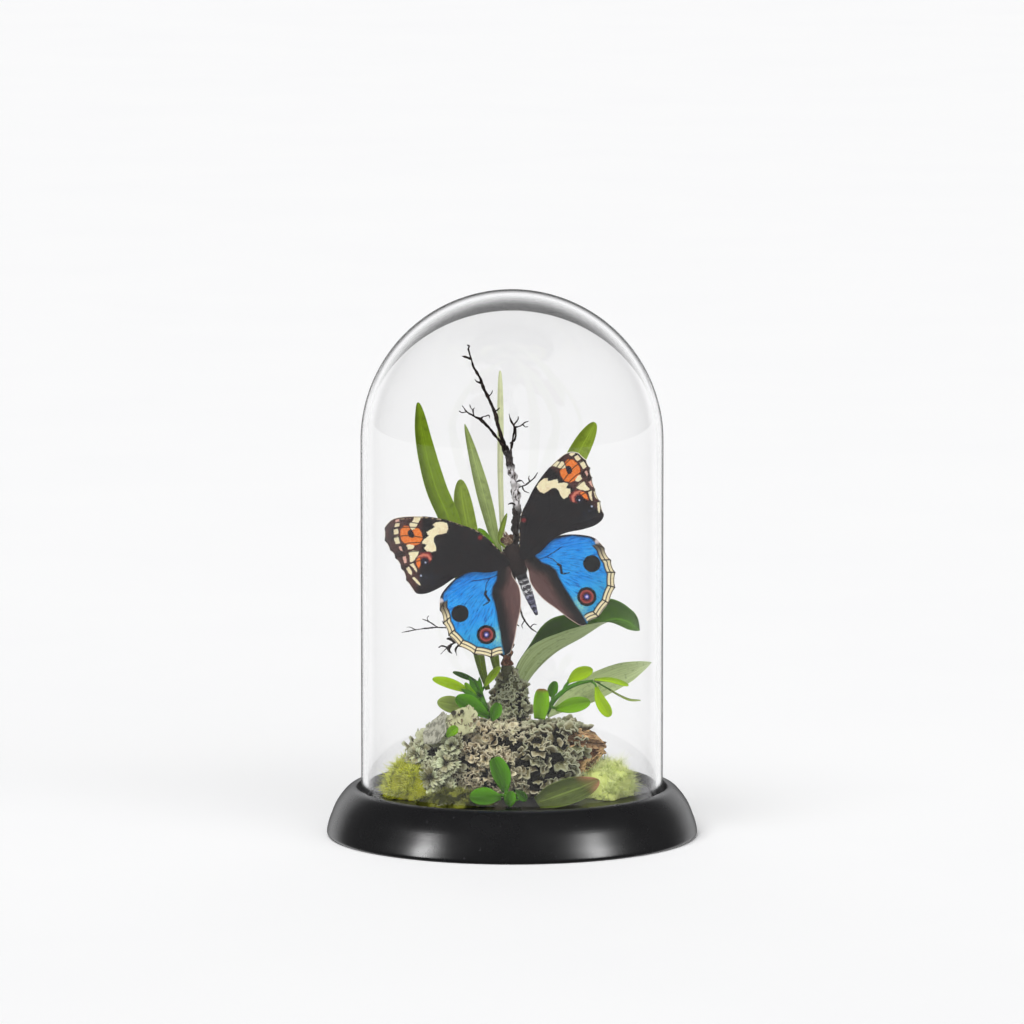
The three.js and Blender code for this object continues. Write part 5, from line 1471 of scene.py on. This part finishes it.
# Zones of lobes on the crust: low and high x, the number's setting, a dim share that darkens
# them, and their kind.
CRUST_ZONES = {
    "crust_left": (-26.5, -12.5, "flat_lobes", 0.0, kind(
        (2.1, 3.7), (0.9, 1.4), (0.0, 0.16), (0.04, 0.11), (0.06, 0.34), (2, 4))),
    "crust_middle": (-14.0, 1.0, "crinkled_lobes", 0.0, kind(
        (1.3, 2.4), (0.8, 1.4), (0.1, 0.5), (0.12, 0.28), (0.35, 1.25))),
    "crust_right": (0.0, 18.0, "grey_lobes", 0.5, kind(
        (1.5, 3.0), (0.8, 1.4), (0.05, 0.45), (0.08, 0.22), (0.2, 0.95))),
}
CRUST_END_LOBES = 70  # lobes over the log's splintered end
STUMP_LOBES = kind((1.0, 2.1), (0.8, 1.4), (0.0, 0.4), (0.1, 0.24), (0.2, 1.0))
NECK_LOBES = kind((0.8, 1.7), (0.8, 1.3), (0.0, 0.3), (0.1, 0.2), (0.2, 0.9))
CUP_LOBES = kind((0.8, 1.5), (0.9, 1.4), (0.1, 0.4), (0.08, 0.2), (0.1, 0.5))
CUP = dict(
    face=(-0.35, -0.8, 0.5), width=7.8, fold=(14, 14), thick=0.4, stalk=0.6, widest=0.5, blunt=0.35,
    veins=0, points=[(-11.4, -14, 26.6), (-11.7, -12, 29.6), (-12.6, -9.6, 32.2)])
CUP_DISCS = [((-13.9, -11.4, 31.4), 0.55), ((-11.9, -11.4, 31.7), 0.45)]  # middle and radius
CUP_DISC = [(0.7, 0.02), (1, 0.2), (1.15, 0.4), (0.95, 0.5), (0.75, 0.3)]  # radius as a share, height
SHEET = dict(
    face=(-0.6, -0.75, 0.3), width=6.6, fold=(6, 6), thick=0.25, stalk=0.8, widest=0.4, blunt=0.6,
    veins=0, points=[(-18.8, -14.2, 24.4), (-18, -12, 28.2), (-16.2, -8.8, 31.4)])


def ease(values, low, high):
    """A soft step from 0 to 1."""
    share = np.clip((np.asarray(values, float) - low) / (high - low), 0, 1)
    return share * share * (3 - 2 * share)


def mound(form, shrink=0.0, fine=64, rough=0.0, seed=5):
    """A lumpy mound on the bed, as points and faces."""
    across = np.arange(fine * 2) / (fine * 2) * TAU
    down = np.linspace(0.03, math.pi - 0.03, fine)[:, None]
    out = np.stack([
        np.sin(down) * np.cos(across), np.sin(down) * np.sin(across), np.cos(down) + 0 * across], axis=-1)
    waves = form["waves"]
    swell = form["lump"] * (np.sin(waves * out[..., 0] * 2 + 1) * np.cos(waves * out[..., 2] * 1.7)
                            + np.sin(waves * out[..., 1] * 1.9 + out[..., 0] * 3))
    square = form["square"]
    bulge = (np.abs(out) ** square).sum(-1) ** (-1 / square)
    rings = out * np.array(form["radii"]) * bulge[..., None] + out * (swell - shrink)[..., None]
    rings = rings + np.array(form["centre"])
    if rough:
        lumps = ripple(rings, 3.4, seed) + 0.6 * ripple(rings, 1.4, seed + 1)
        rings = rings + out * (rough * lumps)[..., None]
    rings[..., 2] = np.maximum(rings[..., 2], BED - 0.2)
    return capped_tube(rings[::-1])


def lichen_lobe(rng, size, spread, curl, ruffle, folds, rows, columns):
    """Upper and lower grids of one frilled lobe that grows along X and curls up along Z."""
    r = np.linspace(0.03, 1, rows)[:, None]
    f = np.linspace(-1, 1, columns)[None, :]
    phase = rng.uniform(0, TAU)
    frill = np.sin(f * math.pi * folds + phase)
    reach = size * r * (1 + 0.13 * r * frill + 0.07 * r * np.sin(f * 8 + 2 * phase)) * (1 - 0.14 * f ** 2)
    angle = spread * f * (1 - 0.1 * r)
    x, y = reach * np.cos(angle), reach * np.sin(angle)
    z = size * (curl * r ** 2.4 + ruffle * r ** 1.5 * np.cos(f * math.pi * folds + phase + 0.5)
                + 0.04 * np.sin(5 * r + phase))
    thick = (0.1 + 0.03 * r) * np.ones_like(f)
    flat = np.stack([x, y, z], axis=-1)
    lift = np.zeros_like(flat)
    lift[..., 2] = thick
    edge = np.clip(np.maximum(r - 0.7, np.abs(f) * r - 0.72) / 0.3, 0, 1)
    return flat + lift, flat - lift, np.broadcast_to(r, x.shape), edge


def grow_lichen(surface, places, normals, rng, tone, ranges, out=None, grid=(7, 11), dim=0.0):
    """Plants one lobe at each place; out gives the way that each spreads, or None for any way."""
    size, spread, curl, ruffle, tilt, folds = ranges
    for number, (place, normal) in enumerate(zip(places, normals)):
        wish = rng.normal(size=3) if out is None else out[number] + rng.normal(scale=0.2, size=3)
        heading = unit(wish - normal * (wish @ normal))
        lean, long = rng.uniform(*tilt), rng.uniform(*size)
        bends = [rng.uniform(*pair) for pair in (spread, curl, ruffle, folds)]
        ahead = heading * math.cos(lean) + normal * math.sin(lean)
        up = normal * math.cos(lean) - heading * math.sin(lean)
        top, bottom, reach, edge = lichen_lobe(rng, long, *bends, *grid)
        axes = np.stack([ahead, np.cross(up, ahead), up])
        points, faces = shell(top @ axes + place, bottom @ axes + place)
        points[:, 2] = np.maximum(points[:, 2], BED)
        surface.add(points, faces, reach=np.tile(reach.ravel(), 2), edge=np.tile(edge.ravel(), 2),
                    under=np.repeat([0, 1], reach.size), lobe=1.0,
                    tone=np.clip(tone(place) + rng.normal(scale=0.14), 0, 1),
                    shade=min(1, rng.uniform(0, 1) + dim))


def strew_lichen(surface, form, keep, count, rng, tone, ranges, **look):
    """Plants lobes at random over the faces of a form that keep picks."""
    grow_lichen(surface, *scatter(*form, count, rng, keep), rng, tone, ranges, **look)


def grow_rosettes(surface, rng):
    """Flat rosettes of broad scalloped lobes, which look out to the left and the front."""
    for middle, size in ROSETTES:
        facing = unit((-0.35 + 0.04 * (middle[0] + 18), -0.85, 0.35))
        across, up = section_axes(facing[None], (0, 0, 1))
        for layer, (count, reach, long) in enumerate(((9, 0.34, 0.72), (7, 0.05, 0.62))):
            turns = TAU * (np.arange(count) + rng.uniform(-0.25, 0.25, count)) / count
            out = np.cos(turns)[:, None] * across + np.sin(turns)[:, None] * up
            places = np.array(middle) + out * size * reach + facing * 0.5 * layer
            scalloped_lobes = kind(
                (size * long * 0.85, size * long * 1.15), (0.5, 0.72), (0.0, 0.16), (0.05, 0.12),
                (0.05, 0.35), (2.5, 4))
            grow_lichen(surface, places, np.tile(facing, (count, 1)), rng, lambda place: 0.12,
                        scalloped_lobes, out, grid=(7, 13))


def log_taper(t):
    """The log's girth as a share of its radius, from its left end (0) to its broken end (1)."""
    return 1 - 0.2 * t - 0.3 * np.maximum(0, 0.12 - t) - 0.62 * ease(t, 0.8, 1.02)


def log_lift(t):
    """How far the broken end's middle rises."""
    return 2 * ease(t, 0.78, 1)


class DOME_OT_log(bpy.types.Operator):
    """Lays the broken log with its splintered right-hand end"""
    bl_idname = "dome.log"
    bl_label = "Log"

    def execute(self, context):
        stations, sides = 90, 80
        t = np.linspace(0, 1, stations)[:, None]
        angle = np.arange(sides)[None, :] / sides * TAU
        knots = (0.5 * np.sin(3 * angle + 5 * t) + 0.35 * np.cos(9 * t + angle))
        x = LOG_MIDDLE[0] + LOG_HALF * (2 * (0.08 + 0.92 * t) - 1) + 0 * angle
        unrolled = np.stack([x * 0.25, 8 * np.cos(angle) + 0 * t, 8 * np.sin(angle) + 0 * t], axis=-1)
        furrow = 0.28 * ripple(unrolled, 1.5, 3, 9) + 0.2 * ripple(unrolled, 0.8, 4, 9)
        hidden = 0.7 + 0.3 * ease(t, 0.6, 0.78)  # under the crust it is drawn in
        radius = ((LOG_RADIUS + knots) * 0.97 + furrow) * log_taper(t) * hidden
        ragged = np.where(t > 0.999, 0.9 * np.sin(5 * angle), 0)
        rings = np.stack([
            x + ragged, LOG_MIDDLE[1] + radius * np.cos(angle),
            LOG_MIDDLE[2] + log_lift(t) + radius * np.sin(angle)], axis=-1)
        fresh = ease(t, 0.84, 0.9) * (0.5 + 0.5 * np.sin(angle * 2 + 0.6))
        surface = Surface().add(*capped_tube(rings), fresh=np.append(fresh.ravel(), [0, 0.8]))
        self.splinters(surface)
        surface.piece("log_wood", self.finish(context.scene.dome.wood), "bark", ("bark_log",))
        return {"FINISHED"}

    @staticmethod
    def splinters(surface):
        """Long slivers of wood and bark that run together to a point."""
        rng = np.random.default_rng(21)
        for _ in range(SPLINTERS):
            t = rng.uniform(0.79, 0.92)
            around = rng.uniform(0, TAU)
            outward = np.array([0, math.sin(around), math.cos(around)])
            radius = LOG_RADIUS * log_taper(t) * rng.uniform(0.92, 1.04)
            foot = LOG_MIDDLE + radius * outward + (LOG_HALF * (2 * t - 1), 0, log_lift(t))
            reach, stray = rng.uniform(0.5, 0.97), rng.normal(scale=0.25, size=3)
            tip = foot + (LOG_TIP + outward * 1.1 - foot) * reach + stray
            middle = (foot + tip) / 2 + outward * rng.uniform(0.0, 0.6)
            sliver = stem([foot, middle, tip], (0.6, 0.9, 0.6, 0.15), sides=6, fineness=1.6)
            cracked = abs(around - 1.5 * math.pi) < 0.3
            surface.add(*sliver[:2], fresh=0.0 if cracked else float(rng.choice([0.2, 0.8, 1.0])))

    @staticmethod
    def finish(settings):
        finish = Finish("broken_wood", Roughness=0.8, Specular_IOR_Level=0.25)
        step = finish.step
        grain = finish.noise(0.5, 5, stretch=(8, 1, 1))
        broad = finish.noise(3.0, 3, stretch=(3, 1, 1))
        bark = finish.layers(
            settings.bark,
            ((40, 24, 18), step(grain, 0.42, 0.6)),
            ((140, 92, 60), step(broad, 0.55, 0.75, 0.7)))
        wood = finish.blend(settings.fresh_wood, (140, 96, 60), step(grain, 0.45, 0.66))
        paint = finish.layers(
            bark, (wood, "fresh"), ((26, 16, 12), step(finish.noise(1.1, 3), 0.6, 0.7, 0.8)))
        return finish.join(Base_Color=paint, Normal=finish.bump(grain, 0.25))


class DOME_OT_lichen(bpy.types.Operator):
    """Covers the log and stump with crinkled lichen, and adds the pale cup and the grey sheet"""
    bl_idname = "dome.lichen"
    bl_label = "Lichen"

    def execute(self, context):
        settings = context.scene.dome.lichen
        rng = np.random.default_rng(7)
        material = self.finish(settings)
        self.crust(settings, rng, material)
        self.stump(settings, rng, material)
        self.cup(rng, material)
        self.sheet(material)
        return {"FINISHED"}

    @staticmethod
    def crust(settings, rng, material):
        """The crust on the log, in three pieces: rosettes, frills and grey lobes."""
        bed = mound(CRUST, shrink=2.7, fine=60, rough=0.35, seed=9)

        def tone(place):
            return np.interp(place[0], *CRUST_TONE)

        def cover(zone, surface):
            low, high, setting, dim, lobes = CRUST_ZONES[zone]

            def in_zone(places, normals):
                within = (places[:, 0] > low) & (places[:, 0] < high) & (places[:, 2] > BED + 0.4)
                return within * np.where(normals[:, 1] < 0.35, 1.0, 0.35)
            strew_lichen(surface, bed, in_zone, getattr(settings, setting), rng, tone, lobes, dim=dim)
            return surface

        def at_end(places, normals):
            low, high = 12, 18.4 - 0.35 * (26.5 - places[:, 2])
            return (places[:, 0] > low) & (places[:, 0] < high) & (places[:, 2] > 14) & (normals[:, 0] < 0.6)
        left = cover("crust_left", Surface())
        grow_rosettes(left, rng)
        left.piece("crust_left_lobes", material, "lichen")
        middle = cover("crust_middle", Surface().add(*bed, tone=0.3, shade=0.5))
        middle.piece("crust_middle_lobes", material, "lichen", ("lichen_crust",))
        right = cover("crust_right", Surface())
        _, _, _, dim, lobes = CRUST_ZONES["crust_right"]
        strew_lichen(right, mound(CRUST_END, fine=40), at_end, CRUST_END_LOBES, rng, tone, lobes, dim=dim)
        right.piece("crust_right_lobes", material, "lichen")

    @staticmethod
    def stump(settings, rng, material):
        bed = mound(STUMP, shrink=1.7, fine=36, rough=0.3, seed=13)
        neck = stem(STUMP_NECK, (3.0, 1.8, 1.2), sides=28, fineness=5, knobs=0.12, seed=4)[:2]
        surface = Surface().add(*bed, tone=0.2, shade=0.5).add(*neck, reach=0.5, lobe=0.6, shade=1.0)
        count = settings.stump_lobes
        strew_lichen(surface, bed, lambda places, normals: places[:, 2] > 26.5, count, rng,
                     lambda place: 0.1, STUMP_LOBES, grid=(5, 9), dim=0.3)
        strew_lichen(surface, neck, lambda places, normals: places[:, 2] < 40, count // 2, rng,
                     lambda place: 0.05, NECK_LOBES, grid=(5, 9), dim=0.6)
        surface.piece("stump_lobes", material, "lichen", ("lichen_stump",))

    @staticmethod
    def cup(rng, material):
        """The pale crumpled cup, with two small dark discs."""
        facing = unit(CUP["face"])
        top, bottom, t, u = blade(CUP, 71)
        crumple = 0.5 * ripple(top, 2.6, 17) + 0.22 * ripple(top, 1.1, 18)
        wander = np.stack([0.4 * ripple(top, 1.9, k) * np.abs(u) ** 2 for k in (19, 20, 21)], axis=-1)
        shift = crumple[..., None] * facing + wander
        points, faces = shell(top + shift, bottom + shift)
        edge = np.clip((np.maximum(np.abs(u), t) - 0.75) / 0.25, 0, 1).ravel()
        surface = Surface().add(points, faces, reach=0.85, edge=np.tile(edge, 2),
                                under=np.repeat([0, 1], t.size), lobe=1.0, tone=0.5, shade=0.5, cup=1.0)
        across, up = section_axes(facing[None], (0, 0, 1))
        for middle, radius in CUP_DISCS:
            outline = [(0.1, 0)] + [(radius * share, z) for share, z in CUP_DISC] + [(0.1, 0.18)]
            form, walls = turned(outline, 20)
            form = form @ np.stack([across[0], up[0], facing]) + middle
            surface.add(form, walls, reach=0.2, edge=0.2, lobe=0.6, tone=0.4, shade=0.5)
        strew_lichen(surface, (points, faces[:1]), None, 30, rng, lambda place: 0.5, CUP_LOBES)
        surface.piece("pale_lichen_cup", material, "lichen", ("lichen_lobe",))

    @staticmethod
    def sheet(material):
        """The thin grey sheet with a torn edge."""
        top, bottom, _, u = blade(SHEET, 83)
        sway = 0.3 * ripple(top, 4, 31) + 0.12 * ripple(top, 1.5, 32)
        tear = np.stack([0.5 * ripple(top, 2.4, k) * np.abs(u) ** 3 for k in (33, 34, 35)], axis=-1)
        shift = sway[..., None] * unit(SHEET["face"]) + tear
        surface = Surface().add(
            *shell(top + shift, bottom + shift), reach=0.7, lobe=1.0, grey=1.0, shade=0.5)
        surface.piece("grey_lichen_sheet", material, "lichen", ("lichen_sheet",))

    @staticmethod
    def finish(settings):
        finish = Finish("lichen_crinkled", Roughness=0.85, Specular_IOR_Level=0.2)
        step, times = finish.step, finish.times
        spots, fine = finish.noise(2.2, 4), finish.noise(0.5, 4)
        crease_shade = finish.noise(0.9, 3, stretch=(0.7, 1, 5))
        shade = step("shade", 0.2, 0.9)
        sage = finish.layers(
            settings.sage,
            ((134, 140, 102), step(spots, 0.45, 0.75)),
            ((112, 114, 76), shade))
        cream = finish.layers(
            settings.cream,
            ((190, 158, 118), step(spots, 0.45, 0.7)),
            ((116, 96, 66), times(shade, 0.7)))
        # pale lobe margins: partly the lichen's own colour, partly a painted highlight
        rim = finish.blend((226, 232, 200), (252, 242, 214), "tone")
        # painted shade of creases: darker streaks down the grey sheet
        grey = finish.blend((186, 184, 168), (122, 120, 110), step(crease_shade, 0.42, 0.62))
        below = finish.blend((48, 36, 24), (120, 98, 66), step(fine, 0.4, 0.7))
        lobes = finish.layers(
            sage,
            (cream, "tone"),
            ((72, 62, 40), step(fine, 0.56, 0.72, 0.5)),
            (rim, times("edge", 0.55)),
            ((194, 196, 152), times("cup", 0.75)),
            (grey, times("grey", 0.9)),
            # painted shade: each lobe darkens towards its root, in the gaps under the lobes
            ((22, 16, 9), step("reach", 0.62, 0.15, 0.9)),
            (below, times("under", step("edge", 0.9, 0.2, 0.75, 0.15))))
        # the bed between the lobes is near black: a dark substrate deepened into painted shade in the gaps
        ground = finish.blend((10, 8, 5), (54, 54, 26), step(fine, 0.5, 0.75))
        relief = finish.plus(fine, times(finish.noise(0.22, 3), 0.5))
        return finish.join(
            Base_Color=finish.blend(ground, lobes, "lobe"), Normal=finish.bump(relief, 0.15))


class DOME_OT_moss(bpy.types.Operator):
    """Heaps the cushions of yellow-green moss"""
    bl_idname = "dome.moss"
    bl_label = "Moss"

    def execute(self, context):
        settings = context.scene.dome.moss
        material = self.finish(settings)
        for seed, (name, moss) in enumerate(MOSS.items()):
            surface = self.cushion(moss, int(settings.tufts * moss["share"]), seed)
            surface.piece(name + "_strands", material, "moss", (name,))
        return {"FINISHED"}

    @staticmethod
    def cushion(moss, count, seed):
        """A mound with tufts of fine strands."""
        rng = np.random.default_rng(40 + seed)
        points, faces = mound(moss, shrink=moss["shrink"] + 0.7, fine=40, rough=0.5, seed=seed + 2)
        if moss.get("behind_rosettes"):
            front = -18 + 8 * ease(points[:, 0] + 0.6 * (points[:, 2] - 16), -24, -20)
            points[:, 1] = np.maximum(points[:, 1], front)
        look = dict(pale=moss["pale"], dim=moss["dim"])
        surface = Surface().add(points, faces, hair=0.0, tuft=0.3, **look)

        def rooted(places, normals):
            return (places[:, 2] > BED + 0.1) * np.where(normals[:, 2] > -0.3, 1.0, 0.1)
        roots, normals = scatter(points, faces, count, rng, rooted)
        foot, normal = np.repeat(roots, STRANDS, axis=0), np.repeat(normals, STRANDS, axis=0)
        total = len(foot)
        lean = np.repeat(rng.normal(scale=0.3, size=(count, 3)), STRANDS, axis=0)
        headings = unit(normal + rng.normal(scale=0.6, size=(total, 3)) + lean)
        start = foot + rng.normal(scale=0.35, size=(total, 3)) - normal * 0.3
        long = moss["strand"] * rng.uniform(0.9, 2.2, total)
        long *= np.repeat(rng.uniform(0.75, 1.25, count), STRANDS)
        bend = rng.normal(scale=0.35, size=(total, 3))
        strands, walls, along = hairs(start, headings, long, STRAND_GIRTH, bend, stations=3)
        strands[:, 2] = np.maximum(strands[:, 2], BED)
        radius = np.hypot(strands[:, 0], strands[:, 1])
        strands[:, :2] *= np.minimum(1, MOSS_REACH / np.maximum(radius, 1))[:, None]
        tuft = np.repeat(rng.uniform(0, 1, count), len(strands) // count)
        return surface.add(strands, walls, hair=0.15 + 0.85 * along, tuft=tuft, **look)

    @staticmethod
    def finish(settings):
        finish = Finish("moss_strands", Roughness=0.8, Specular_IOR_Level=0.2)
        step, patch = finish.step, finish.noise(3.2, 3)
        lime = finish.layers(
            settings.lime,
            ((168, 176, 56), step("tuft", 0.3, 0.9)),
            ((236, 240, 130), step(patch, 0.5, 0.7)))
        pale = finish.layers(
            settings.pale,
            ((206, 220, 132), step("tuft", 0.3, 0.9)),
            ((232, 240, 180), step(patch, 0.5, 0.7)))
        # painted shade: the mound and the lower strands are darker, deep in the cushion
        deep = finish.blend((150, 152, 30), (208, 218, 130), "pale")
        paint = finish.layers(
            deep,
            (finish.blend(lime, pale, "pale"), step("hair", 0.0, 0.6)),
            # painted shadow: dim darkens a cushion towards dark olive
            ((50, 52, 10), finish.times("dim", step(patch, 0.46, 0.66, 0.45, 1.0))))
        return finish.join(Base_Color=paint, Normal=finish.bump(finish.noise(0.3, 2), 0.05))


# ---------- add-on
class DomeSceneSettings(bpy.types.PropertyGroup):
    """All the settings of the glass dome"""
    stage: bpy.props.PointerProperty(type=StageSettings)
    base: bpy.props.PointerProperty(type=BaseSettings)
    glass: bpy.props.PointerProperty(type=DomeSettings)
    butterfly: bpy.props.PointerProperty(type=ButterflySettings)
    wood: bpy.props.PointerProperty(type=WoodSettings)
    leaves: bpy.props.PointerProperty(type=LeafSettings)
    lichen: bpy.props.PointerProperty(type=LichenSettings)
    moss: bpy.props.PointerProperty(type=MossSettings)


STEPS = (
    DOME_OT_stage, DOME_OT_base, DOME_OT_glass, DOME_OT_log, DOME_OT_lichen, DOME_OT_moss, DOME_OT_twigs,
    DOME_OT_leaves, DOME_OT_wings, DOME_OT_body)


class DOME_PT_panel(bpy.types.Panel):
    bl_label = "Glass Dome"
    bl_idname = "DOME_PT_panel"
    bl_space_type = "VIEW_3D"
    bl_region_type = "UI"
    bl_category = "Glass Dome"

    def draw(self, context):
        for step in STEPS:
            self.layout.operator(step.bl_idname)


CLASSES = (
    StageSettings, BaseSettings, DomeSettings, ButterflySettings, WoodSettings, LeafSettings,
    LichenSettings, MossSettings, DomeSceneSettings, *STEPS, DOME_PT_panel)


def register():
    for group in CLASSES:
        bpy.utils.register_class(group)
    bpy.types.Scene.dome = bpy.props.PointerProperty(type=DomeSceneSettings)


def unregister():
    del bpy.types.Scene.dome
    for group in reversed(CLASSES):
        bpy.utils.unregister_class(group)


def main():
    register()
    for step in STEPS:
        domain, name = step.bl_idname.split(".")
        getattr(getattr(bpy.ops, domain), name)()
    bpy.context.view_layer.update()


if __name__ == "__main__":
    main()
